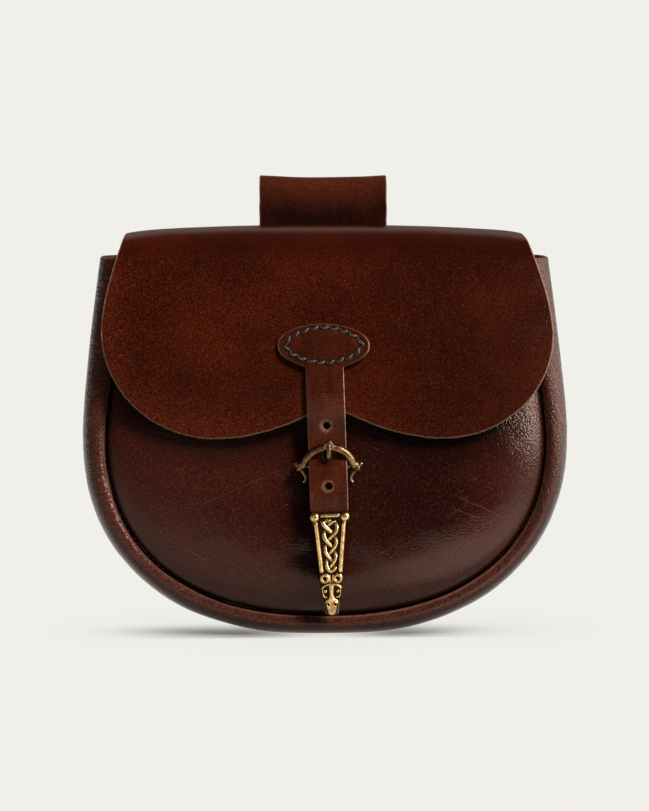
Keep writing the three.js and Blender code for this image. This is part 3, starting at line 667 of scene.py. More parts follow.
# %% Smooth leather
def smooth_leather(name, deep, warm, wrinkle_size, wrinkle_scale, wrinkle_depth, relief_depth, on_roll):
    """Wrinkles are noise stretched along one direction: of the sheet's own pattern on the roll, else of
    the bag. The mesh says where a painted highlight runs along the ridge of the roll, where painted shade
    falls, and where the hide is deeply wrinkled. Dark wrinkle valleys, pale wrinkle ridges and pale flecks
    are painted shade and highlights."""
    nodes, place, close = finish(name, LEATHER_SHADER)
    names = ("cut", "flesh", "painted_ridge_highlight", "painted_shade", "wrinkled")
    cut, flesh, painted_ridge_highlight, painted_shade, wrinkled = map(nodes.field, names)
    base = nodes.node("ShaderNodeUVMap", {"uv_map": "pattern"}) if on_roll else place
    wrinkles = nodes.noise(nodes.stretched(base, wrinkle_scale), wrinkle_size, 3.0)
    pores = nodes.cells(place, 0.0009)
    pebble = nodes.noise(place, 0.0007, 2.0)
    scratches = fine_scratches(nodes, place)
    for line in () if on_roll else HAIRLINES:
        scratches = scratches.over(hairline(nodes, place, wrinkles, *line) * (0.5 + pebble))

    cloud = nodes.noise(place, 0.035, 3.0)
    sideways, up = nodes.axis(place, "X"), nodes.axis(place, "Z")
    warmth = cloud.between(0.3, 0.75) * 0.7 + sideways.between(0.02, -0.05) * 0.6
    dyed = nodes.blend(
        deep,
        (warm, warmth + sideways.between(0.045, 0.08) * 0.5),
        # Painted shade in the valleys of the wrinkles.
        (paint(20, 8, 6), wrinkles.between(0.6, 0.35) * wrinkle_depth * 0.5),
        (paint(18, 7, 5), pores.between(0.4, 0.75) * 0.5),
        # Painted highlights: pale flecks on the pebbles stand in for glints.
        (paint(122, 64, 46), (pebble - pores * 0.3).between(0.36, 0.58) * 0.24),
        (paint(146, 96, 76), scratches * 0.2),
        # Painted highlight along the ridge of the roll.
        (paint(142, 98, 78), painted_ridge_highlight * wrinkles.between(0.2, 0.5) * 0.5),
        # Painted shade: under the flap, in the groove and beside the strap.
        (paint(14, 6, 5), painted_shade),
        # Painted highlights on the ridges of the cross wrinkles.
        (paint(140, 98, 80), wrinkles.between(0.54, 0.7) * wrinkled * 0.4),
    )
    colour = raw_leather(nodes, place, dyed, cut, flesh, paint(84, 52, 37), paint(88, 56, 42))
    relief = wrinkles * (wrinkle_depth + wrinkled) + pebble * 0.9 - pores * 0.65
    relief = relief * (0.6 + up.between(0.03, 0.085) * 1.2) - scratches * 0.3
    gloss = 0.15 + cloud * 0.06 + pores.between(0.4, 0.8) * 0.06 + cut.over(flesh) * 0.5
    return close(colour, gloss, relief, relief_depth)


panel_leather = smooth_leather(
    "panel_leather", paint(38, 10, 7), paint(68, 20, 12), 0.0016, (0.35, 1, 1.3), 0.25, 0.0001, False)
roll_leather = smooth_leather(
    "roll_leather", paint(60, 29, 22), paint(86, 45, 35), 0.002, (1.5, 0.3, 1), 0.4, 0.00018, True)

# %% Strap leather
def strap_leather(name, deep, warm):
    """A middle brown with fine pores, hair-fine lines across and long soft streaks down the strap. The
    mesh says where the dye is deep and where painted shade falls below the tongue, where a painted sheen
    lies, where the hide is worn, and where the cut edge is darker: round the tab except at its ends, and
    as painted shade down the strap's left side."""
    nodes, place, close = finish(name, LEATHER_SHADER)
    names = ("cut", "flesh", "deep", "sheen", "worn", "burnished_and_shaded")
    cut, flesh, dark_dye_and_shade, sheen, worn, burnished_and_shaded = map(nodes.field, names)
    streaks = nodes.noise(nodes.stretched(place, (1.0, 1.0, 0.15)), 0.002, 3.0)
    lines = nodes.noise(nodes.stretched(place, (0.3, 1.0, 1.2)), 0.0007, 3.0)
    cloud = nodes.noise(place, 0.009, 3.0)
    pores = nodes.cells(place, 0.0008)
    fine = nodes.noise(place, 0.0004, 3.0)
    dyed = nodes.blend(
        deep,
        (warm, cloud.between(0.3, 0.7) * 0.6 + streaks.between(0.4, 0.7) * 0.4),
        # Deep dye on the tab, and painted shade below the tongue.
        (paint(46, 11, 4), dark_dye_and_shade * 0.55),
        (paint(26, 9, 5), pores.between(0.4, 0.75) * 0.3 + lines.between(0.5, 0.3) * 0.5),
        (paint(128, 80, 60), fine.between(0.56, 0.72) * 0.2),
        # Painted sheen across the strap below the flap.
        (paint(92, 76, 74), sheen * fine.between(0.15, 0.65)),
        (paint(168, 122, 86), worn * fine.between(0.3, 0.6)),
    )
    # The pale cut edge is partly a painted highlight on the strap's lit right side; it is darker where the
    # mesh says.
    pale = cut * (1 - burnished_and_shaded * 0.75)
    colour = raw_leather(nodes, place, dyed, pale, flesh, paint(182, 138, 112), paint(90, 55, 38))
    gloss = 0.2 + cloud * 0.08 + cut * 0.1 + flesh * 0.35
    return close(colour, gloss, fine * 0.6 - pores * 0.4 + lines * 0.5 + streaks * 0.3, 0.0001)


strap_finish = strap_leather("strap_leather", paint(64, 22, 9), paint(98, 42, 20))

# %% [markdown]
# ## Outline of the pouch
#
# Front and back of the pouch have the same outline: a flattened round belly and nearly straight sides.
# It could be drawn as a curve and traced, but a formula is easier to offset: a superellipse below the
# widest height, a slow taper above. Its own outward direction then gives the seam line, a roll's width
# further in.

# %% Outline
BODY_HALF_WIDTH = 93.9
WIDEST_HEIGHT = 78.0
MOUTH_HEIGHT = 145.0
MOUTH_HALF_WIDTH = 87.0
BELLY_POWER = 2.3
SIDE_POWER = 1.35
FOOT_SINK = 1.2
BELLY_SHARE = 0.68
FRONT_SEAM = -17.0
MOUTH_SEAM = -9.5
BACK_SEAM = 20.0
SEAM_TAPER_FROM = 68.0
ROLL_INSET = 9.1
MOUTH_ROLL_INSET = 12.0
GAP = 0.3


def pouch_outline(t, inset):
    """Point of the outline at station t, from the left end of the mouth (-1) round the bottom (0) to the
    right end (1), moved inwards: across is a power of a sine, down the same power of a cosine, and both
    sides taper above the widest height. The foot is pressed flat where it would go below the ground."""
    t, inset = np.broadcast_arrays(t, inset)
    turn = np.clip(np.abs(t) / BELLY_SHARE, 0, 1) * np.pi / 2
    rise = np.clip((np.abs(t) - BELLY_SHARE) / (1 - BELLY_SHARE), 0, 1)
    across = np.sin(turn) ** (2 / BELLY_POWER)
    below = np.maximum(np.cos(turn), 0) ** (2 / BELLY_POWER)
    deep = WIDEST_HEIGHT + FOOT_SINK
    x = BODY_HALF_WIDTH * across - (BODY_HALF_WIDTH - MOUTH_HALF_WIDTH) * rise ** SIDE_POWER
    z = WIDEST_HEIGHT - deep * below + (MOUTH_HEIGHT - WIDEST_HEIGHT) * rise
    out = np.stack([across ** (BELLY_POWER - 1) / BODY_HALF_WIDTH, -below ** (BELLY_POWER - 1) / deep], -1)
    out = unit(out) * inset[..., None]
    z = z - out[..., 1]
    return np.sign(t) * (x - out[..., 0]), (z + np.hypot(z, 0.5)) / 2


def up_share(z):
    """How far up the taper of the mouth a height is."""
    return ease(z, SEAM_TAPER_FROM, MOUTH_HEIGHT)


def front_seam(z):
    """Depth of the front seam, which comes back towards the mouth."""
    return lerp(FRONT_SEAM, MOUTH_SEAM, up_share(z))


def roll_inset(t):
    """How far in from the outline the seam lies."""
    return lerp(ROLL_INSET, MOUTH_ROLL_INSET, up_share(pouch_outline(t, 0.0)[1]))


def panel_edge(t):
    """The seam line of the front and back panels."""
    return pouch_outline(t, roll_inset(t) + GAP)


seam_x, seam_z = panel_edge(np.linspace(0, 1, 401))
widest = seam_x.argmax()
seam_line = np.stack(panel_edge(np.linspace(-1, 1, 481)), -1)
print("seam line is", round(float(np.linalg.norm(np.diff(seam_line, axis=0), axis=1).sum())), "mm long")

# %% [markdown]
# ## Gusset
#
# The gusset is the soft strip that runs down one side, under the bottom and up the other. It is sewn to
# the panels inside out, so that turning the pouch leaves a full roll beside a deep groove. A bevelled
# curve would give the roll, but its section changes along the way, so the section is carried along the
# outline as a grid. The hide is bent round a tight curve there, and gathers into small cross wrinkles.

# %% Gusset
SOFT_LEATHER = 1.6
CREST_RADIUS = 3.2
SHOULDER = 12.0
SEAM_ALLOWANCE = 4.0
CREST_STEPS = 17
SHOULDER_STEPS = 10
SIDE_STEPS = 6


def roll_section(inset):
    """Half of the gusset's section, from the allowance in the groove, over the quarter-round crest, down
    the elliptic shoulder to the side: how far in from the outline, and how far out past the seam."""
    crest = np.linspace(0, np.pi / 2, CREST_STEPS)
    shoulder = np.linspace(0, np.pi / 2, SHOULDER_STEPS + 1)[1:]
    inset = inset[:, None]
    far_in = [
        inset + np.zeros(3),
        inset - CREST_RADIUS * (1 - np.cos(crest)),
        (inset - CREST_RADIUS) * (1 - np.sin(shoulder)),
    ]
    allowance = np.array([-SEAM_ALLOWANCE, -SEAM_ALLOWANCE * 0.6, -SEAM_ALLOWANCE * 0.2])
    reach = [allowance, CREST_RADIUS * np.sin(crest), CREST_RADIUS - SHOULDER * (1 - np.cos(shoulder))]
    return np.concatenate(far_in, 1), np.concatenate(reach)


station = np.linspace(-1, 1, 561)
far_in, reach = roll_section(roll_inset(station))
seam_depth = front_seam(pouch_outline(station, 0.0)[1])[:, None]
x, z = pouch_outline(station[:, None], far_in)
back = grid_of(x, BACK_SEAM + reach, z)
front = grid_of(x, seam_depth - reach, z)[:, ::-1]
shares = np.linspace(0, 1, SIDE_STEPS + 2)[1:-1, None]
gusset_grid = np.concatenate([back, lerp(back[:, -1:], front[:, :1], shares), front], 1)
print("gusset grid:", gusset_grid.shape[:2])

# %% Gusset piece
WRINKLE_LIMIT = 0.2
RIDGE_HIGHLIGHT_TURN = 0.42
RIDGE_HIGHLIGHT_WIDTH = 0.09
BACK_WRINKLES = 0.35

run = np.cumsum(np.linalg.norm(np.gradient(back[:, -1], axis=0), axis=-1))
place = grid_of(run[:, None], gusset_grid[..., 1] * 0.22)
tight = ease(np.abs(station), 0.2, 0.75)[:, None]
wrinkle = ripple(place, 3.4, 11) * 0.03 * tight + ripple(place, 13.0, 12) * 0.05
wrinkle = wrinkle + ripple(place, 40.0, 13) * 0.12
on_roll = ease(np.abs(gusset_grid[..., 1] - 1.5), 6, 14) * 0.75 + 0.25
above_foot = ease(gusset_grid[..., 2], 0.3, 3.0)
gusset_grid = raised(gusset_grid, np.minimum(wrinkle * on_roll, WRINKLE_LIMIT) * above_foot)

turn = np.concatenate([np.full(3, -1.0), np.linspace(0, 1, CREST_STEPS), np.full(SHOULDER_STEPS, 2.0)])
gusset_fields = {}
# Painted light on the roll: a pale highlight along its ridge, painted shade towards the groove, and pale
# wrinkle ridges where it is wrinkled, less at the back.
for name, half, at_back in (
    ("painted_ridge_highlight", bell(turn - RIDGE_HIGHLIGHT_TURN, RIDGE_HIGHLIGHT_WIDTH), 1.0),
    ("painted_shade", 0.8 * (1 - ease(turn, 0.1, 0.4)), 1.0),
    ("wrinkled", ease(turn, 0.4, 0.9), BACK_WRINKLES),
):
    section = np.concatenate([half * at_back, np.zeros(SIDE_STEPS), half[::-1]])
    gusset_fields[name] = np.broadcast_to(section, gusset_grid.shape[:2])
gusset_fields["wrinkled"] = gusset_fields["wrinkled"] * tight
gusset_mesh = leather_sheet("gusset_skin", gusset_grid, SOFT_LEATHER, 0.5, 3, gusset_fields)
add_piece("gusset_skin", gusset_mesh, roll_leather, "gusset")

# %% [markdown]
# ## Front panel
#
# The front of the pouch is one soft panel that swells forward from its seam. A cloth simulation could
# blow it up, but the swell of a filled pouch is well known: steep at the seam, level in the middle. So
# its depth is a formula of the distance to the seam. Columns run straight up from the bottom seam, so no
# pole of the grid lies on the face, and they crowd together near the seam, where the surface turns.

# %% Panel grid
BELLY_BULGE = 10.5
MOUTH_BULGE = 5.0
BULGE_REACH = 36.0
HOLLOW_DEPTH = 2.5
HOLLOW_WIDTH = 12.0
HOLLOW_FROM = 20.0
HOLLOW_TO = 74.0
HOLLOW_EASE = 14


def panel_columns(share, rows, top, crowd):
    """Columns of a panel at shares of its half width, each running up from the seam: straight to the
    widest height, then leaning in with the side. Rows crowd towards the seam by a power of their share."""
    x = share * seam_x[widest]
    z = np.interp(np.abs(x), seam_x[:widest + 1], seam_z[:widest + 1])
    height = lerp(z[:, None], top, np.linspace(0, 1, rows) ** crowd)
    lean = np.interp(height, seam_z[widest:], seam_x[widest:]) / seam_x[widest]
    return x[:, None] * lean, height


def crowded(count):
    """Shares from -1 to 1 that crowd towards both ends like a sine."""
    even = np.linspace(-1, 1, count)
    return lerp(even, np.sin(even * np.pi / 2), 0.85)


def seam_distance(x, z):
    """Distance from points to the seam line, some thousands of them at a time."""
    points = np.stack([x.ravel(), z.ravel()], -1)
    blocks = np.array_split(points, max(len(points) // 4000, 1))
    return np.concatenate([chain_distance(block, seam_line) for block in blocks]).reshape(x.shape)


def front_depth(x, z):
    """The swell of the pouch, with a soft hollow behind the hanging strap."""
    bulge = lerp(BELLY_BULGE, MOUTH_BULGE, up_share(z))
    long = ease(z, HOLLOW_FROM, HOLLOW_FROM + HOLLOW_EASE) * (1 - ease(z, HOLLOW_TO, HOLLOW_TO + HOLLOW_EASE))
    hollow = HOLLOW_DEPTH * long * bell(x, HOLLOW_WIDTH)
    return front_seam(z) - bulge * swell(seam_distance(x, z) / BULGE_REACH) + hollow


x, z = panel_columns(crowded(181), 120, MOUTH_HEIGHT, 1.7)
panel_grid = grid_of(x, front_depth(x, z), z)
inwards = ease(seam_distance(x, z), 2, 18)
uneven = ripple(panel_grid, 34, 21) * 0.28 + ripple(panel_grid, 13, 22) * 0.07
panel_grid[..., 1] += uneven * inwards
print("front panel grid:", panel_grid.shape[:2])

# %% [markdown]
# ## Back and flap
#
# One piece of firm hide makes the back, folds over the mouth and comes down in front as a flap with two
# round lobes. It is one grid: columns go up the back, over the fold and down to the cut edge. The lobes
# are quarter ellipses that meet in a shallow notch behind the strap. The cut edge is left raw, so it is
# a little uneven.

# %% Shape of the flap
FIRM_LEATHER = 2.2
BACK_FACE = 22.5
BACK_EDGE_REACH = 6.0
CREST_HEIGHT = 157.8
CREST_DROOP = 2.5
CORNER_DROOP = 0.7
FOLD_RISE = 10.5
FOLD_FRONT = -16.5
FOLD_BACK_HALF_WIDTH = 74.7
FOLD_FRONT_HALF_WIDTH = 78.5
FLAP_HALF_WIDTH = 86.1
FLAP_WIDEST_HEIGHT = 117.5
FLAP_SIDE_POWER = 1.6
LOBE_CENTRE = 43.6
LOBE_DROP = 39.5
NOTCH_HEIGHT = 91.5
NOTCH_POWER = 1.9
FLAP_REACH = 14.8
FLAP_POWER = 1.7
FLAP_CROWN_TOP = 1.5
FLAP_CROWN = 5.5
FLAP_LEAN = 0.0152

fold_half_depth = (BACK_FACE - FOLD_FRONT) / 2
fold_centre = (BACK_FACE + FOLD_FRONT) / 2
fold_height = CREST_HEIGHT - FOLD_RISE
lobe_height = FLAP_WIDEST_HEIGHT - LOBE_DROP
flap_slope = FLAP_REACH * FLAP_POWER / (fold_height - lobe_height)
fold_end = np.pi - np.arctan(flap_slope * FOLD_RISE / fold_half_depth)
flap_top_depth = fold_centre + fold_half_depth * np.cos(fold_end)
flap_top = fold_height + FOLD_RISE * np.sin(fold_end)


def crown(x, amount):
    """The flap curls back towards its sides by the fourth power of the distance."""
    return amount * (x / FLAP_HALF_WIDTH) ** 4


def flap_depth(x, z):
    """How far forward the flap lies: it leaves the fold steeply and hangs straighter towards the lobes."""
    fall = np.clip((flap_top - z) / (flap_top - lobe_height), 0, 1)
    forward = FLAP_REACH * (1 - (1 - fall) ** FLAP_POWER)
    return flap_top_depth - forward + crown(x, lerp(FLAP_CROWN_TOP, FLAP_CROWN, fall))


def flap_edge(x):
    """Height of the cut edge: a quarter ellipse round each lobe, a power curve up to the notch."""
    off = np.abs(x)
    lobe = (off - LOBE_CENTRE) / (FLAP_HALF_WIDTH - LOBE_CENTRE)
    round_part = FLAP_WIDEST_HEIGHT - LOBE_DROP * np.sqrt(np.clip(1 - lobe ** 2, 0, 1))
    notch = lerp(lobe_height, NOTCH_HEIGHT, np.clip(1 - off / LOBE_CENTRE, 0, 1) ** NOTCH_POWER)
    return np.where(off > LOBE_CENTRE, round_part, notch)


print("lobes hang to", lobe_height, "mm and the notch is at", flap_edge(0.0), "mm")

# %% Back and flap grid
def back_rows(s, rows):
    """The back panel from its seam up to the fold, its edge turned in a little."""
    x, z = panel_columns(s, rows, fold_height, 1.5)
    edge = lerp(BACK_FACE, BACK_SEAM, 1 - ease(z, 118, 144))
    return grid_of(x, lerp(edge, BACK_FACE, swell(seam_distance(x, z) / BACK_EDGE_REACH)), z)


def fold_rows(s, rows):
    """Over the mouth on part of an ellipse, drooping towards the sides."""
    share = np.linspace(0, 1, rows)[1:]
    x = s[:, None] * lerp(FOLD_BACK_HALF_WIDTH, FOLD_FRONT_HALF_WIDTH, share ** 1.5)
    y = fold_centre + fold_half_depth * np.cos(fold_end * share) + crown(x, FLAP_CROWN_TOP * share)
    droop = (CREST_DROOP * s[:, None] ** 2 + CORNER_DROOP * s[:, None] ** 16) * np.sin(np.pi * share)
    return grid_of(x, y, fold_height + FOLD_RISE * np.sin(fold_end * share) - droop)


def front_rows(s, rows):
    """Down the front to the cut edge, widening to the lobes and leaning a little to one side."""
    share = np.linspace(0, 1, rows)[1:]
    low = flap_edge(s * FLAP_HALF_WIDTH)
    low = low + ripple(s[:, None] * 100, 3.0, 31) * 0.07 + ripple(s[:, None] * 100, 14.0, 32) * 0.1
    z = lerp(flap_top, low[:, None], share)
    rise = np.clip((z - FLAP_WIDEST_HEIGHT) / (flap_top - FLAP_WIDEST_HEIGHT), 0, 1)
    half = FLAP_HALF_WIDTH - (FLAP_HALF_WIDTH - FOLD_FRONT_HALF_WIDTH) * rise ** FLAP_SIDE_POWER
    x = s[:, None] * half
    return grid_of(x + FLAP_LEAN * (flap_top - z), flap_depth(x, z), z)


s = crowded(181)
flap_grid = np.concatenate([back_rows(s, 46), fold_rows(s, 40), front_rows(s, 86)], 1)[::-1]
print("back and flap grid:", flap_grid.shape[:2])

# %% Front panel piece
FLAP_SHADE_REACH = 18
GROOVE_WIDTH = 1.3
STRAP_SHADE_X = -8
STRAP_SHADE_WIDTH = 7

x, _, z = np.moveaxis(panel_grid, -1, 0)
below_flap = flap_edge(np.clip(x, -FLAP_HALF_WIDTH, FLAP_HALF_WIDTH)) - z
# Painted shade on the front panel: darker under the flap's edge, in the groove along the seam, and beside the
# hanging strap.
under_flap = 1 - ease(below_flap, -1, FLAP_SHADE_REACH)
in_groove = bell(seam_distance(x, z), GROOVE_WIDTH)
by_strap = bell(x - STRAP_SHADE_X, STRAP_SHADE_WIDTH) * ease(z, 8, 30)
painted_shade = np.maximum.reduce([0.85 * under_flap, 0.8 * in_groove, 0.6 * by_strap])
panel_fields = {"painted_shade": painted_shade, "painted_ridge_highlight": np.zeros_like(x)}
panel_mesh = leather_sheet("front_panel_skin", panel_grid, SOFT_LEATHER, 0.4, 3, panel_fields)
add_piece("front_panel_skin", panel_mesh, panel_leather, "front_panel")

# %% Back and flap piece
PRESSED_WIDTH = 14
RUBBED_REACH = 16

x, y, z = np.moveaxis(flap_grid, -1, 0)
on_front = ease(-y, -12, 12)
waves = ripple(flap_grid, 46, 33) * 0.3 + ripple(flap_grid, 17, 34) * 0.08
pressed = bell(x, PRESSED_WIDTH) * on_front
flap_grid = raised(flap_grid, waves * on_front * (1 - pressed))
x, y, z = np.moveaxis(flap_grid, -1, 0)
# Paler near the cut edges, where the hide is rubbed, and towards the left side. The upper fold is calmed and
# painted darker as shade.
from_edge = np.minimum(z - flap_edge(x), FLAP_HALF_WIDTH - np.abs(x))
near_edge = (1 - ease(from_edge, 0, RUBBED_REACH)) * on_front
to_left = 1 - x / FLAP_HALF_WIDTH
wear_and_painted_light = 0.3 * near_edge + (0.3 + 0.4 * near_edge) * to_left - 0.25 * ease(z, 132, 150)
flap_fields = {"calm_and_shade": ease(z, 143, 155), "wear_and_painted_light": wear_and_painted_light}
flap_mesh = leather_sheet("back_and_flap_skin", flap_grid, FIRM_LEATHER, 0.7, 4, flap_fields)
add_piece("back_and_flap_skin", flap_mesh, flap_leather, "back_and_flap")

# %% [markdown]
# ## Belt loop
#
# A wide strip of the same hide is folded over and sewn to the back, so that a belt can pass through it.
# Its section is a path through a few points, carried straight across, with edges that curl up a little
# where the fold is tight.

# %% Belt loop
LOOP_HALF_WIDTH = 24.6
LOOP_CENTRE = 0.4
LOOP_CURL = 0.7
LOOP_PATH = [
    (22.8, 98), (22.8, 112), (22.8, 130), (22.9, 149), (23.6, 163.5), (25.8, 172.4), (30.4, 175.8),
    (35, 172.3), (37.6, 163.5), (38.4, 148), (36.6, 130), (31, 114), (27.7, 106.5), (27.5, 98),
]

section = through(LOOP_PATH, 190)
across = np.linspace(-1, 1, 41)[:, None]
curl = LOOP_CURL * across ** 2 * ease(section[:, 1], 162, 176)
edge_wave = 1 + ripple(section[:, 1:], 9, 41) * 0.002
loop_x = LOOP_CENTRE + across * LOOP_HALF_WIDTH * edge_wave
loop_grid = grid_of(loop_x, section[:, 0], section[:, 1] + curl)
loop_grid = raised(loop_grid, ripple(loop_grid, 15, 42) * 0.06)
# Painted light on the loop: its top is painted paler, and the whole loop is calmed and painted darker.
top_share = ease(loop_grid[..., 2], 160, 174)
loop_fields = {"calm_and_shade": np.full_like(top_share, 0.5), "wear_and_painted_light": 1.1 * top_share}
loop_mesh = leather_sheet("belt_loop_skin", loop_grid, FIRM_LEATHER, 0.5, 3, loop_fields)
add_piece("belt_loop_skin", loop_mesh, loop_leather, "belt_loop")

# %% [markdown]
# ## Closing strap
#
# The strap is cut from one piece with an oval tab, which is sewn to the flap. Below the flap it passes
# behind the bow of the buckle, over its bar, and hangs down into the cast end. Its two long edges are a
# formula of height: an ellipse for the tab, eased into straight edges, then a taper. The holes are cut
# through afterwards with a Boolean, whose cutters flare towards the face as a punched hole does.

# %% Shape of the strap
STRAP_LEATHER = 2.0
STRAP_CORNER = 0.45
STRAP_HALF_WIDTH = 7.3
STRAP_LEAN = 0.0317
STRAP_CENTRED_AT = 72.0
TAB_HEIGHT = 113.0
TAB_HALF_WIDTH = 17.5
TAB_HALF_HEIGHT = 8.2
TAB_TOP_HALF_WIDTH = 6.0
TAB_BLEND = 3.0
STRAP_BEND_HEIGHT = 51.0
STRAP_LEAVES_FLAP = 86.0
STRAP_HANG = 0.18
STRAP_LIFT = 0.4
STRAP_TIP_HEIGHT = 9.5
TAPER_HEIGHTS = [STRAP_TIP_HEIGHT, 47.5, STRAP_BEND_HEIGHT]
TAPER_HALF_WIDTHS = [2.6, 6.4, STRAP_HALF_WIDTH]
STRAP_PATH = [(78, -30.3), (72.5, -30.1), (66.5, -32.3), (58, -32.0), (51, -31.0)]

strap_rows = np.array([
    (0, STRAP_PATH[-1][1] + STRAP_HANG * STRAP_BEND_HEIGHT),
    *STRAP_PATH[::-1],
    (STRAP_LEAVES_FLAP, flap_depth(0.0, STRAP_LEAVES_FLAP) - STRAP_LIFT),
])


def along_height(rows, z):
    """A smooth value through rows of height and depth: cubics whose slopes are those of the neighbours."""
    slope = np.empty(len(rows))
    slope[1:-1] = (rows[2:, 1] - rows[:-2, 1]) / (rows[2:, 0] - rows[:-2, 0])
    slope[[0, -1]] = np.diff(rows[:, 1])[[0, -1]] / np.diff(rows[:, 0])[[0, -1]]
    k = np.clip(np.searchsorted(rows[:, 0], z) - 1, 0, len(rows) - 2)
    span = rows[k + 1, 0] - rows[k, 0]
    f = (z - rows[k, 0]) / span
    bend = span * f * (1 - f) * ((1 - f) * slope[k] - f * slope[k + 1])
    return lerp(rows[k, 1], rows[k + 1, 1], f * f * (3 - 2 * f)) + bend


def strap_depth(z):
    """Depth of the strap's back: on the flap, then through the buckle, then hanging straight."""
    hanging = STRAP_PATH[-1][1] + STRAP_HANG * (STRAP_BEND_HEIGHT - z)
    through_buckle = along_height(strap_rows, z)
    on_flap = flap_depth(0.0, z) - STRAP_LIFT
    return np.where(z > STRAP_LEAVES_FLAP, on_flap, np.where(z > STRAP_BEND_HEIGHT, through_buckle, hanging))


def strap_half_width(z):
    """Half the strap's width: an ellipse at the tab, a smooth maximum with the straight part, a taper."""
    straight = np.interp(z, TAPER_HEIGHTS, TAPER_HALF_WIDTHS)
    oval = TAB_HALF_WIDTH * np.sqrt(np.clip(1 - ((z - TAB_HEIGHT) / TAB_HALF_HEIGHT) ** 2, 0, 1))
    share = np.clip(0.5 + (oval - straight) / (2 * TAB_BLEND), 0, 1)
    eased = lerp(straight, oval, share) + TAB_BLEND * share * (1 - share)
    return np.where(z > TAB_HEIGHT, oval, eased)


def strap_x(z):
    """Middle of the strap, which leans a little."""
    return STRAP_LEAN * (STRAP_CENTRED_AT - z)


print("the strap leaves the flap at a depth of", strap_depth(np.array(STRAP_LEAVES_FLAP)).round(1), "mm")

# %% Strap grid
oval_half_width = TAB_HALF_WIDTH - STRAP_CORNER
oval_half_height = TAB_HALF_HEIGHT - STRAP_CORNER
below = np.linspace(STRAP_TIP_HEIGHT, TAB_HEIGHT, 180)[:-1]
angle = np.linspace(0, np.arccos(TAB_TOP_HALF_WIDTH / oval_half_width), 24)
heights = np.concatenate([below, TAB_HEIGHT + oval_half_height * np.sin(angle)])
half = np.concatenate([strap_half_width(below) - STRAP_CORNER, oval_half_width * np.cos(angle)])
across = np.linspace(-1, 1, 35)[:, None]
arch = np.sqrt(1 - (across * half[-1] / oval_half_width) ** 2)
z = heights + (heights - TAB_HEIGHT).clip(0) * (arch / arch[0] - 1)
strap_grid = grid_of(strap_x(heights) + across * half, strap_depth(z) - STRAP_LEATHER, z)
print("strap grid:", strap_grid.shape[:2])

# %% Strap sheet with stitch groove
STITCH_RING = (14.5, 6.6)
RING_POWER = 1.75
GROOVE_DEPTH = 0.18
PILLOW_HEIGHT = 0.45
TONGUE_LANDS_AT = 68.6
SHEEN_HEIGHT = 86
STRAP_HOLES = [(82.5, 2.6, 2.6), (71.6, 3.1, 5.0), (59.5, 2.6, 2.6)]

x, _, z = np.moveaxis(strap_grid, -1, 0)
off_x, off_z = (x - strap_x(TAB_HEIGHT)) / STITCH_RING[0], (z - TAB_HEIGHT) / STITCH_RING[1]
ring_share = (np.abs(off_x) ** RING_POWER + np.abs(off_z) ** RING_POWER) ** (1 / RING_POWER)
groove = bell((ring_share - 1) * 7.5) * GROOVE_DEPTH
pillow = (1 - np.clip(ring_share, 0, 1) ** 4) * PILLOW_HEIGHT
strap_grid = raised(strap_grid, ripple(strap_grid, 9, 51) * 0.05 + pillow - groove)

x, _, z = np.moveaxis(strap_grid, -1, 0)
beside = x - strap_x(z)
on_tab = ease(z, 98, 107)
# Painted shade on the strap just below the tongue.
tongue_shade = np.exp(-((x / 3) ** 2 + ((z - TONGUE_LANDS_AT) / 1.8) ** 2))
strap_fields = {
    # The field deep holds the tab's deep dye and the painted shade below the tongue.
    "deep": np.maximum(on_tab, 1.5 * tongue_shade),
    "worn": np.zeros_like(on_tab),
    # Painted sheen across the strap below the flap.
    "sheen": 0.22 * bell(z - SHEEN_HEIGHT, 6),
    # The cut edge is darker round the tab except at its far ends, and painted shade down the strap's left
    # side.
    "burnished_and_shaded": np.where(on_tab > 0.5, 1 - ease(np.abs(beside), 13.5, 16.5), 0.7 * ease(-beside, 0, 5)),
}
for height, width, _ in STRAP_HOLES[::2]:
    from_hole = np.hypot(x - strap_x(height) + 0.3, z - height)
    strap_fields["worn"] += 0.8 * bell(from_hole - width / 2 - 0.6, 0.5)
strap_mesh = leather_sheet("closing_strap_skin", strap_grid, STRAP_LEATHER, STRAP_CORNER, 3, strap_fields)
print("rim of the upper hole is worn by up to", strap_fields["worn"].max().round(2))

# %% Punched holes
def tube_index(rows, sides, start=0):
    """Numbers of the points of a tube, row by row; the first of a row comes again at its end."""
    index = start + np.arange(rows * sides).reshape(rows, sides)
    return np.concatenate([index, index[:, :1]], 1)


def hole_cutters():
    """Turned cutters: straight through the strap, flaring by half a millimetre at the face."""
    level = np.array([-6.0, -3.0, -2.15, -1.95, -1.7, -1.2, 2.0])[:, None]
    flare = np.array([0.55, 0.55, 0.5, 0.3, 0.12, 0.0, 0.0])[:, None]
    angle = np.linspace(0, 2 * np.pi, 28, endpoint=False)
    points, faces = [], []
    for number, (height, width, length) in enumerate(STRAP_HOLES):
        x = strap_x(height) + (width / 2 + flare) * np.cos(angle)
        z = height + (length / 2 + flare) * np.sin(angle)
        points.append(grid_of(x, strap_depth(np.array(height)) + level, z).reshape(-1, 3))
        index = tube_index(level.size, angle.size, number * level.size * angle.size)
        faces += [joined(index), index[:1, :-1], index[-1:, -2::-1]]
    return make_mesh("hole_cutters", np.concatenate(points), faces)


def applied(thing):
    """A new smooth mesh of an object after its modifiers; the object goes."""
    graph = bpy.context.evaluated_depsgraph_get()
    mesh = bpy.data.meshes.new_from_object(thing.evaluated_get(graph))
    bpy.data.objects.remove(thing)
    mesh.shade_smooth()
    return mesh


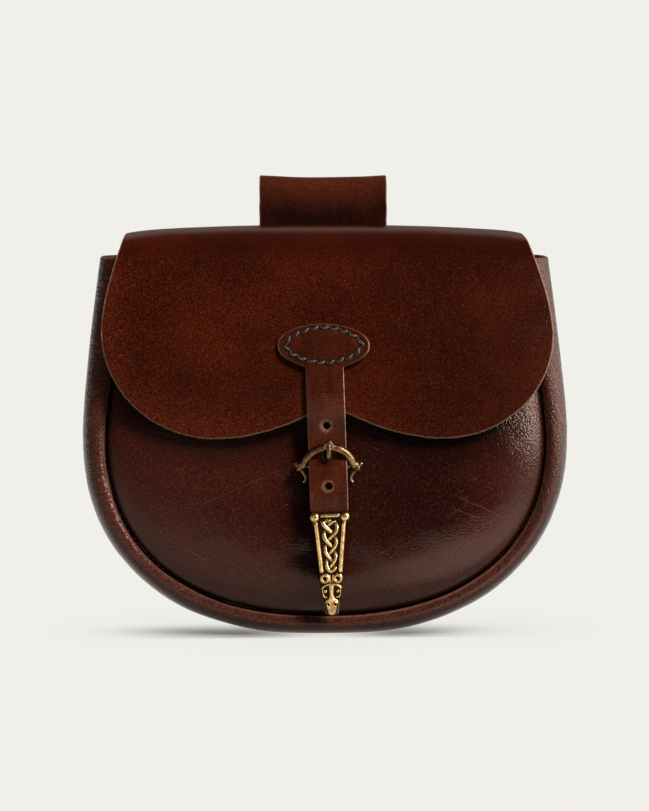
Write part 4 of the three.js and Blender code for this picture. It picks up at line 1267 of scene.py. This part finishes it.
def carve(mesh, cutter_mesh):
    """The mesh with the cutters taken away, as a new mesh."""
    body, cutter = placed("to_carve", mesh), placed("cutters", cutter_mesh)
    boolean = body.modifiers.new("holes", "BOOLEAN")
    boolean.object = cutter
    boolean.solver = "EXACT"
    carved = applied(body)
    bpy.data.objects.remove(cutter)
    return carved


strap_mesh = carve(strap_mesh, hole_cutters())
add_piece("closing_strap_skin", strap_mesh, strap_finish, "closing_strap")

# %% [markdown]
# ## Bars, wires and stitches
#
# Stitches, buckle and tongue are all round bars along a path, so one function makes many of them at once:
# a ring of points is set square to each path, with its own radius at each step, and both ends are closed
# by a point. Between two stitches the thread dips into its slit, which is a short bar just below the
# face, painted dark as shade.

# %% Round bars
def round_bars(paths, radii, sides=8, upright=(0.0, -1.0, 0.0)):
    """Rings round each path: the cosine of an angle sideways plus its sine upwards, times the radius."""
    paths = np.asarray(paths, float)
    count, steps = paths.shape[:2]
    radii = np.broadcast_to(radii, (count, steps))[..., None, None]
    ahead = unit(np.gradient(paths, axis=1))
    sideways = unit(np.cross(ahead, np.asarray(upright)))
    upwards = np.cross(sideways, ahead)
    angle = np.linspace(0, 2 * np.pi, sides, endpoint=False)[:, None]
    around = np.cos(angle) * sideways[:, :, None] + np.sin(angle) * upwards[:, :, None]
    rings = paths[:, :, None] + radii * around
    points = np.concatenate([rings.reshape(count, -1, 3), paths[:, [0, -1]]], 1)

    index = tube_index(steps, sides)
    poles = np.full(sides, steps * sides)
    caps = np.concatenate([
        np.stack([poles, index[0, :-1], index[0, 1:]], -1),
        np.stack([poles + 1, index[-1, 1:], index[-1, :-1]], -1),
    ])
    start = (np.arange(count) * (steps * sides + 2))[:, None, None]
    return points.reshape(-1, 3), [(joined(index) + start).reshape(-1, 4), (caps + start).reshape(-1, 3)]


def rounded(steps, radius):
    """Radii that close at both ends like a superellipse."""
    share = np.linspace(-1, 1, steps)
    return radius * np.clip(1 - np.abs(share) ** 6, 0.02, 1) ** 0.5


print("a bar of nine steps swells to", rounded(9, 1.0).max())

# %% Thread
nodes, place, close = finish("waxed_thread", {"Specular IOR Level": 0.4})
twist = nodes.noise(nodes.stretched(place, (1, 1, 2.2), (0, 0.6, 0)), 0.0004, 2.0)
thread_colour = nodes.blend(
    paint(26, 23, 20),
    # Painted highlights on the twist of the thread.
    (paint(128, 118, 106), twist.between(0.4, 0.75)),
    # Painted shade: the thread dipping into each slit is darker.
    (paint(14, 11, 9), nodes.field("sunk")),
)
thread = close(thread_colour, 0.5 + twist * 0.2, twist, 0.0001, 0.8)

# %% Stitches round the tab
STITCHES = 18
STITCH_LENGTH = 2.8
STITCH_SLANT = np.radians(27)
STITCH_START = 0.3
THREAD_RADIUS = 0.5
SLIT_DEPTH = 0.2

dense = np.linspace(0, 2 * np.pi, 2001)
ring = np.stack([np.cos(dense), np.sin(dense)], -1)
ring = STITCH_RING * np.sign(ring) * np.abs(ring) ** (2 / RING_POWER)
walked = np.concatenate([[0], np.cumsum(np.linalg.norm(np.diff(ring, axis=0), axis=1))])


def on_ring(walk):
    """The points of the ring after so many millimetres."""
    return np.stack([np.interp(walk, walked, axis, period=walked[-1]) for axis in ring.T], -1)


stops = (np.arange(STITCHES) + STITCH_START) / STITCHES * walked[-1]
middle = on_ring(stops)
heading = np.arctan2(*(on_ring(stops + 0.5) - middle).T[::-1]) + STITCH_SLANT
reach = np.linspace(-0.5, 0.5, 9)
x = strap_x(TAB_HEIGHT) + middle[:, :1] + STITCH_LENGTH * reach * np.cos(heading)[:, None]
z = TAB_HEIGHT + middle[:, 1:] + STITCH_LENGTH * reach * np.sin(heading)[:, None]
dip = 0.8 * (2 * reach) ** 4 - 0.08
stitch_paths = grid_of(x, strap_depth(z) - STRAP_LEATHER + dip, z)
slit_paths = lerp(stitch_paths[:, -1:], np.roll(stitch_paths[:, :1], -1, axis=0), reach[:, None] + 0.5)
slit_paths[..., 1] = strap_depth(slit_paths[..., 2]) - STRAP_LEATHER + SLIT_DEPTH
paths = np.concatenate([stitch_paths, slit_paths])
stitch_points, stitch_faces = round_bars(paths, rounded(reach.size, THREAD_RADIUS))
stitch_fields = {"sunk": np.repeat([0.0, 1.0], len(stitch_points) // 2)}
stitch_mesh = make_mesh("tab_stitches", stitch_points, stitch_faces, stitch_fields)
add_piece("tab_stitches", stitch_mesh, thread)

# %% [markdown]
# ## Buckle
#
# The buckle is cast in dark bronze: a bow, a bar, and at each end of the bow a boss with a round lobe, a
# short spur and a curled hook. A small arch stands where the tongue lands. Castings have soft inner
# corners. Joining bars with a Boolean would leave sharp ones, so the bars are melted into one skin with a
# voxel Remesh and smoothed, and how much each point sticks out is kept, because that is where a casting is
# polished by wear; its paler colour there is partly a painted highlight.

# %% Melt bars into one casting
FRAME_VOXEL = 0.17
TONGUE_VOXEL = 0.16


def melt(name, parts, voxel, passes):
    """One skin round overlapping bars; the field `proud` is how far a point stands out from its
    neighbours' mean, along its normal, against the size of a voxel."""
    points, faces, start = [], [], 0
    for part_points, part_faces in parts:
        points.append(part_points)
        faces += [block + start for block in part_faces]
        start += len(part_points)
    rough = placed("rough", make_mesh("rough", np.concatenate(points), faces))
    remesh = rough.modifiers.new("melt", "REMESH")
    remesh.mode = "VOXEL"
    remesh.voxel_size = voxel * MM
    rough.modifiers.new("soften", "SMOOTH").iterations = passes
    mesh = applied(rough)
    mesh.name = name

    place, normal = read(mesh.vertices, "co", 3), read(mesh.vertex_normals, "vector", 3)
    edges = read(mesh.edges, "vertices", 2, np.int32)
    edges = np.concatenate([edges, edges[:, ::-1]])
    total = np.zeros_like(place)
    np.add.at(total, edges[:, 0], place[edges[:, 1]])
    count = np.bincount(edges[:, 0], minlength=len(place))[:, None]
    proud = ((place - total / count) * normal).sum(1) / (voxel * MM)
    add_fields(mesh, {"proud": proud})
    print(name, "stands proud from", proud.min().round(3), "to", proud.max().round(3))
    return mesh


print("voxels of", FRAME_VOXEL, "mm for the frame and", TONGUE_VOXEL, "mm for the tongue")

# %% Dark bronze
nodes, place, close = finish("dark_bronze", {"Metallic": 1.0})
stain = nodes.noise(place, 0.0025, 4.0)
# Proud parts are paler and golden: partly polish from wear, partly a painted highlight.
worn = (nodes.field("proud") + stain * 0.05 - 0.025).between(0.045, 0.13)
bronze_colour = nodes.blend(
    paint(84, 61, 43),
    (paint(134, 102, 73), stain.between(0.3, 0.7)),
    (paint(216, 176, 120), worn),
)
pits = nodes.noise(place, 0.0005, 3.0)
bronze = close(bronze_colour, 0.3 - worn * 0.06 + stain * 0.1, pits, 0.00006, 0.15)

# %% Buckle frame
BUCKLE_X = 0.4
BAR_HEIGHT = 66.5
BAR_DEPTH = -29.2
BAR_PLACE = np.array([BUCKLE_X, BAR_DEPTH, BAR_HEIGHT])
BAR_RADIUS = 1.0
BOW_TILT = 0.45
BOW_FORWARD = 2.0
BOW_RADIUS = 1.5
BOW_LIFT = 1.7
BOW_ARM = [(0.0, 8.3), (2.2, 7.9), (4.8, 6.8), (6.9, 5.1), (8.3, 3.2), (9.2, 1.2), (9.8, -0.4)]
BOSS = [(10.2, 0.9, 0), (10.2, -1.2, 0), (10.2, -3.0, 0)]
LOBE = [(10.2, -1.8, -0.6), (11.1, -1.8, -0.9), (12.0, -1.8, -0.5)]
SPUR = [(11.4, -1.8, -0.4), (12.2, -1.8, 0.4), (12.6, -1.8, 1.2)]
HOOK = [(10.6, -1.8, -1.4), (9.6, -2.0, -3.0), (8.7, -2.5, -4.6), (8.7, -2.9, -5.9), (9.6, -3.1, -6.9)]
ARCH = [(-1.5, -2.4, 8.0), (-1.25, -2.7, 9.4), (0, -2.9, 10.8), (1.25, -2.7, 9.4), (1.5, -2.4, 8.0)]

arm = through(BOW_ARM, 36)
arm = np.concatenate([arm[::-1] * (-1, 1), arm[1:]])
bow = grid_of(arm[:, 0], -BOW_FORWARD, arm[:, 1])
bow_radius = BOW_RADIUS * (1 - 0.12 * bell(arm[:, 0], 2))
hook_radius = np.interp(np.linspace(0, 1, 31), [0, 0.4, 0.8, 1], [1.2, 0.75, 0.55, 0.45])
buckle_parts = [round_bars([bow], bow_radius, 16)]
for side in (-1, 1):
    for path, radius, sides, upright in (
        (BOSS, rounded(17, 1.5), 18, (0, 0, 1)),
        (LOBE, rounded(15, 1.65), 14, (0, -1, 0)),
        (SPUR, np.linspace(1.1, 0.6, 13), 12, (0, -1, 0)),
        (HOOK, hook_radius, 12, (0, -1, 0)),
    ):
        path = through(np.array(path) * (side, 1, 1), radius.size)
        buckle_parts.append(round_bars([path], radius, sides, upright))
buckle_parts.append(round_bars([through(ARCH, 25)], 0.8, 14))
lifted = BAR_PLACE + (0, 0, BOW_LIFT)
buckle_parts = [(turned(points, 1, 2, BOW_TILT) + lifted, faces) for points, faces in buckle_parts]
reach = np.linspace(-10.2, 10.2, 41)
bar = grid_of(reach, 0.0, BOW_LIFT * ease(np.abs(reach), 6.5, 9.8))
buckle_parts.append(round_bars([bar + BAR_PLACE], BAR_RADIUS, 14))
buckle_mesh = melt("buckle_frame_cast", buckle_parts, FRAME_VOXEL, 7)
frame_piece = add_piece("buckle_frame_cast", buckle_mesh, bronze, "buckle_frame")

# %% Tongue
TONGUE_EYE_RADIUS = 1.8
TONGUE_EYE_WIRE = 0.5
TONGUE_PATH = [(-0.4, 1.8), (-1.6, 2.6), (-3.6, 3.3), (-5.6, 4.7), (-7.1, 7.0), (-7.6, 9.4)]
SIDEWAYS = (1.0, 0.0, 0.0)

around = np.linspace(0, 2 * np.pi + 0.2, 41)
eye = grid_of(0.0, TONGUE_EYE_RADIUS * np.cos(around), TONGUE_EYE_RADIUS * np.sin(around))
shaft = through([(0.0, y, z) for y, z in TONGUE_PATH], 45)
shaft_radius = np.interp(np.linspace(0, 1, 45), [0, 0.4, 0.6, 0.85, 1], [0.75, 0.9, 1.1, 0.95, 0.6])
tongue_parts = [
    round_bars([eye + BAR_PLACE], TONGUE_EYE_WIRE, 12, SIDEWAYS),
    round_bars([shaft + BAR_PLACE], shaft_radius, 14, SIDEWAYS),
]
tongue_mesh = melt("buckle_tongue_cast", tongue_parts, TONGUE_VOXEL, 5)
tongue_piece = add_piece("buckle_tongue_cast", tongue_mesh, bronze, "buckle_tongue")

# %% [markdown]
# ## Buckle tab
#
# Under the strap a short strip of leather goes round the buckle's bar and is sewn to the front panel. Very
# little of it shows, from the side only, but without it the buckle would hang on nothing.

# %% Buckle tab
TAB_LEATHER = 1.4
TAB_STRIP_HALF_WIDTH = 5.5
TAB_STRIP_LOW = 44.0
TAB_STRIP_LIFT = 0.5
TAB_STRIP_SEWN = 55.0
TONGUE_SLOT_HALF_WIDTH = 2.6
TONGUE_SLOT_LOW = 62.0
TONGUE_SLOT_HEIGHT = 12

bend = BAR_RADIUS + GAP + TAB_LEATHER


def strip_layer(x, z, side):
    """One layer of the strip: on the panel up to the last stitch, then eased over to the bar."""
    on_panel = front_depth(x, np.minimum(z, TAB_STRIP_SEWN)) - TAB_STRIP_LIFT
    on_panel = on_panel - (2 * TAB_LEATHER + GAP if side < 0 else 0)
    return grid_of(x, lerp(on_panel, BAR_DEPTH + side * bend, ease(z, TAB_STRIP_SEWN, BAR_HEIGHT)), z)


across = np.linspace(1, -1, 21) * TAB_STRIP_HALF_WIDTH + BUCKLE_X
rise = np.linspace(TAB_STRIP_LOW, BAR_HEIGHT, 30)[:-1]
x, z = np.meshgrid(across, rise, indexing="ij")
angle = np.linspace(0, np.pi, 17)
over = grid_of(across[:, None], BAR_DEPTH + bend * np.cos(angle), BAR_HEIGHT + bend * np.sin(angle))
tab_grid = np.concatenate([strip_layer(x, z, 1), over, strip_layer(x, z, -1)[:, ::-1]], 1)
tab_mesh = leather_sheet("buckle_tab_skin", tab_grid, TAB_LEATHER, 0.3, 2)
slot_x = BUCKLE_X + SQUARE[0] * TONGUE_SLOT_HALF_WIDTH
slot_y = BAR_DEPTH + SQUARE[1] * 4 * bend
slot_levels = np.array([[TONGUE_SLOT_LOW], [TONGUE_SLOT_LOW + TONGUE_SLOT_HEIGHT]])
slot_points = grid_of(slot_x, slot_y, slot_levels).reshape(-1, 3)
slot_faces = BOX_FROM_INSIDE[:, [0, 3, 2, 1]]
tab_mesh = carve(tab_mesh, make_mesh("slot_cutter", slot_points, [slot_faces]))
add_piece("buckle_tab_skin", tab_mesh, strap_finish, "buckle_tab")

# %% [markdown]
# ## Cast strap end
#
# The strap ends in a casting of golden brass: a frame of two rods with a ball at each upper corner, an
# interlaced braid in a black ground, and a small beast's head at the tip. It could be sculpted, but a
# medal-like relief is a height over a plane, so it is one: each rod, strand, ear and eye is a bump, and
# the highest bump at a point wins. Black is kept in the hollows by how low a point lies against a blurred
# copy of the relief.

# %% Relief bumps
END_OUTLINE = np.array([
    (0.3, 6.8), (23.4, 4.7), (27.5, 4.7), (31.0, 4.0), (34.5, 3.4), (36.0, 2.9), (38.5, 2.4), (41.0, 1.5)])
END_BALL = (5.95, 1.9, 2.0)
END_FLOOR = 1.05


def half_round(off, height, power=2):
    """A rounded bump over the floor by the distance from its middle, as a share of its half width: the
    square root of one less a power of the share. A high power flattens it."""
    return np.where(off < 1, END_FLOOR + height * np.sqrt(np.clip(1 - off ** power, 0, 1)), 0)


def ring_at(x, d, centre, radius, width, height):
    """A ring with a half-round section, or a dome where its radius is nought."""
    return half_round(np.abs(np.hypot(x - centre[0], d - centre[1]) - radius) / width, height)


def rod_at(x, d, points, radius, height):
    """A half-round rod along a chain of straight spans."""
    return half_round(chain_distance(np.stack([x, d], -1), np.array(points, float)) / radius, height)


def wedge_at(x, d, rows, height, power):
    """A ridge down the middle whose half width follows rows of distance down and width."""
    down, width = np.transpose(rows)
    inside = (d > down[0]) & (d < down[-1])
    return np.where(inside, half_round(np.abs(x) / np.interp(d, down, width), height, power), 0)


print("the plate of the strap end is", 2 * END_OUTLINE[0, 1], "mm wide at its top")

# %% Braid
BRAID_FROM = 3.4
BRAID_TO = 23.0
BRAID_SWING = (2.75, 1.5)
BRAID_RADII = (0.84, 0.7)
BRAID_TURNS = 1.15
BRAID_START = 0.09
BRAID_WEAVE = 0.5


def braid_at(x, d):
    """Three strands that swing as sines a third of a turn apart and rise and dip twice as often."""
    share = (d - BRAID_FROM) / (BRAID_TO - BRAID_FROM)
    swing, radius = (lerp(*ends, np.clip(share, 0, 1)) for ends in (BRAID_SWING, BRAID_RADII))
    best = np.zeros_like(x)
    for strand in range(3):
        phase = 2 * np.pi * (BRAID_TURNS * share + BRAID_START + strand / 3)
        slope = swing * np.cos(phase) * 2 * np.pi * BRAID_TURNS / (BRAID_TO - BRAID_FROM)
        off = np.abs(x - swing * np.sin(phase)) / np.hypot(1, slope) / radius
        lift = -BRAID_WEAVE * np.sin(2 * phase)
        body = END_FLOOR + 0.15 + lift + 0.75 * np.sqrt(np.clip(1 - off ** 2, 0, 1))
        inside = (off < 1) & (share > 0) & (share < 1)
        best = np.maximum(best, np.where(inside, body, 0))
    return best


print("braid strands are", 2 * BRAID_RADII[0], "mm wide at the top")

# %% Strap end relief
END_LENGTH = 41.0
NOSTRIL = (1.3, 36.7)
NOSTRIL_WIDTH = 0.42

drop = np.linspace(0.2, END_LENGTH, 400)
ball_reach = END_BALL[0] + np.sqrt(np.clip(END_BALL[2] ** 2 - (drop - END_BALL[1]) ** 2, 0, None))
plate = np.interp(drop, *END_OUTLINE.T)
half = np.where(np.abs(drop - END_BALL[1]) < END_BALL[2], np.maximum(ball_reach, plate), plate)
half = half * np.sqrt(np.clip(1 - ((drop - 39.0) / 2.4).clip(0) ** 2, 0.05, 1))
s = np.linspace(-1, 1, 115)[:, None]
x, d = np.broadcast_arrays(s * half, drop)
mirror = np.abs(x)
features = {
    "plate": np.where(mirror < plate, END_FLOOR, 0.55),
    "braid": braid_at(x, d),
    "side rods": rod_at(mirror, d, [(5.55, 4.5), (3.75, 23.2)], 1.08, 1.1),
    "upper rod": rod_at(x, d, [(-3.0, 1.25), (3.0, 1.25)], 0.85, 1.0),
    "lower loop of the braid": rod_at(mirror, d, [(0, 23.6), (0.9, 23.2), (1.6, 22.3)], 0.8, 0.85),
    "upper loop of the braid": rod_at(
        x, d, [(-2.3, 4.4), (-2.1, 3.7), (-1.3, 3.2), (-0.4, 3.4), (0.2, 4.0)], 0.8, 0.8),
    "corner balls": ring_at(mirror, d, END_BALL[:2], 0, END_BALL[2], 1.5),
    "ears": ring_at(mirror, d, (2.5, 26.4), 1.35, 0.78, 1.0),
    "tuft": rod_at(mirror, d, [(0.7, 25.2), (0.5, 27.8)], 0.5, 0.7),
    "brow": rod_at(mirror, d, [(0, 28.6), (1.6, 28.8), (2.8, 29.4), (3.7, 30.3)], 0.62, 1.05),
    "eyes": ring_at(mirror, d, (2.35, 31.6), 0, 0.8, 0.85),
    "cheeks": rod_at(mirror, d, [(3.5, 31.0), (3.55, 32.6), (2.9, 33.8), (1.9, 34.0)], 0.45, 0.65),
    "nose": wedge_at(x, d, [(29.0, 1.2), (30.5, 1.05), (32.5, 0.85), (34.0, 1.15), (35.4, 2.2)], 1.25, 2),
    "muzzle": wedge_at(x, d, [(35.0, 2.3), (35.9, 2.75), (38.0, 2.15), (40.9, 1.3)], 1.1, 2.6),
    "ridge of the muzzle": rod_at(x, d, [(0, 35.5), (0, 40.4)], 0.55, 1.4),
    "nostrils": ring_at(mirror, d, NOSTRIL, 0.62, 0.3, 1.3),
}
relief = np.maximum.reduce(list(features.values()))
off_x, off_d = (mirror - NOSTRIL[0]) / NOSTRIL_WIDTH, (d - NOSTRIL[1]) / NOSTRIL_WIDTH
relief = relief - np.exp(-(off_x ** 2 + off_d ** 2))
relief = np.maximum(relief * (1 - np.abs(s) ** 16) ** 0.5, 0.15)
relief[:, [0, -1]] *= 0.3
print(len(features), "features in a relief from", relief.min().round(2), "to", relief.max().round(2), "mm")

# %% Strap end piece
END_TOP_HEIGHT = 49.9
BLUR_STEPS = 5
POLISH_BEHIND = 0.6


def blurred(values, steps):
    """A copy blurred by a Gaussian of so many grid steps."""
    tall, wide = (np.fft.fftfreq(size)[:, None] for size in values.shape)
    keep = np.exp(-2 * (np.pi * tall * steps) ** 2) * np.exp(-2 * (np.pi * wide.T * steps) ** 2)
    return np.real(np.fft.ifft2(np.fft.fft2(values) * keep))


def set_on_strap(x, y, z):
    """From the casting's own plane to its place: leant with the strap, hung at its slope."""
    hung = turned(turned(grid_of(x, y, z), 0, 2, STRAP_LEAN), 1, 2, np.arctan(STRAP_HANG))
    depth = float(strap_depth(np.array(END_TOP_HEIGHT)) - STRAP_LEATHER - GAP)
    return hung + (strap_x(END_TOP_HEIGHT), depth, END_TOP_HEIGHT)


end_points = np.concatenate([set_on_strap(x, y, -d).reshape(-1, 3) for y in (-relief, 0.0)])
size = relief.size
rim, following = grid_rim(*relief.shape)
end_faces = [
    grid_quads(*relief.shape)[:, ::-1],
    grid_quads(*relief.shape, size),
    np.stack([rim, rim + size, following + size, following], -1),
]
stands_out = np.clip(0.5 + (relief - blurred(relief, BLUR_STEPS)) / 0.5, 0, 1)
height_share = np.clip((relief - END_FLOOR) / 0.95, 0, 1)
polished = np.concatenate([(stands_out * height_share).ravel(), np.full(size, POLISH_BEHIND)])
end_mesh = make_mesh("strap_end_cast", end_points, end_faces, {"polished": polished})
print("on average the face is polished by", polished[:size].mean().round(2))

# %% Golden brass
nodes, place, close = finish("golden_brass", {"Metallic": 1.0})
stain = nodes.noise(place, 0.0016, 4.0)
bright = (nodes.field("polished") + (stain - 0.5) * 0.2).between(0.05, 0.65)
gold = nodes.blend(paint(172, 132, 78), (paint(224, 188, 130), stain.between(0.3, 0.7)))
brass_colour = nodes.blend(paint(40, 30, 20), (gold, bright))
pits = nodes.noise(place, 0.0004, 3.0)
brass = close(brass_colour, 0.62 - bright * 0.36, pits, 0.00005, 0.6)
end_piece = add_piece("strap_end_cast", end_mesh, brass, "strap_end")

# %% [markdown]
# Polished metal shows little but what it reflects, and so far that is dark cloth. A photographer would
# aim a small lamp at the brass through a tube. Here a lamp above the camera is linked to the metal pieces
# alone, so that the leather around them keeps its depth.

# %% Lamp for the metal
LAMP_SIZE = (0.09, 0.5)
LAMP_RADIANCE = 13.0

metal_lamp = add_panel_lamp("metal_lamp", from_bag(8, 20), 0.6, 0.05, LAMP_SIZE, LAMP_RADIANCE)
metal_pieces = bpy.data.collections.new("metal_pieces")
for piece in (frame_piece, tongue_piece, end_piece):
    metal_pieces.objects.link(piece)
metal_lamp.light_linking.receiver_collection = metal_pieces

# %% [markdown]
# ## Size
#
# The dressed bag should keep the size of its solids.
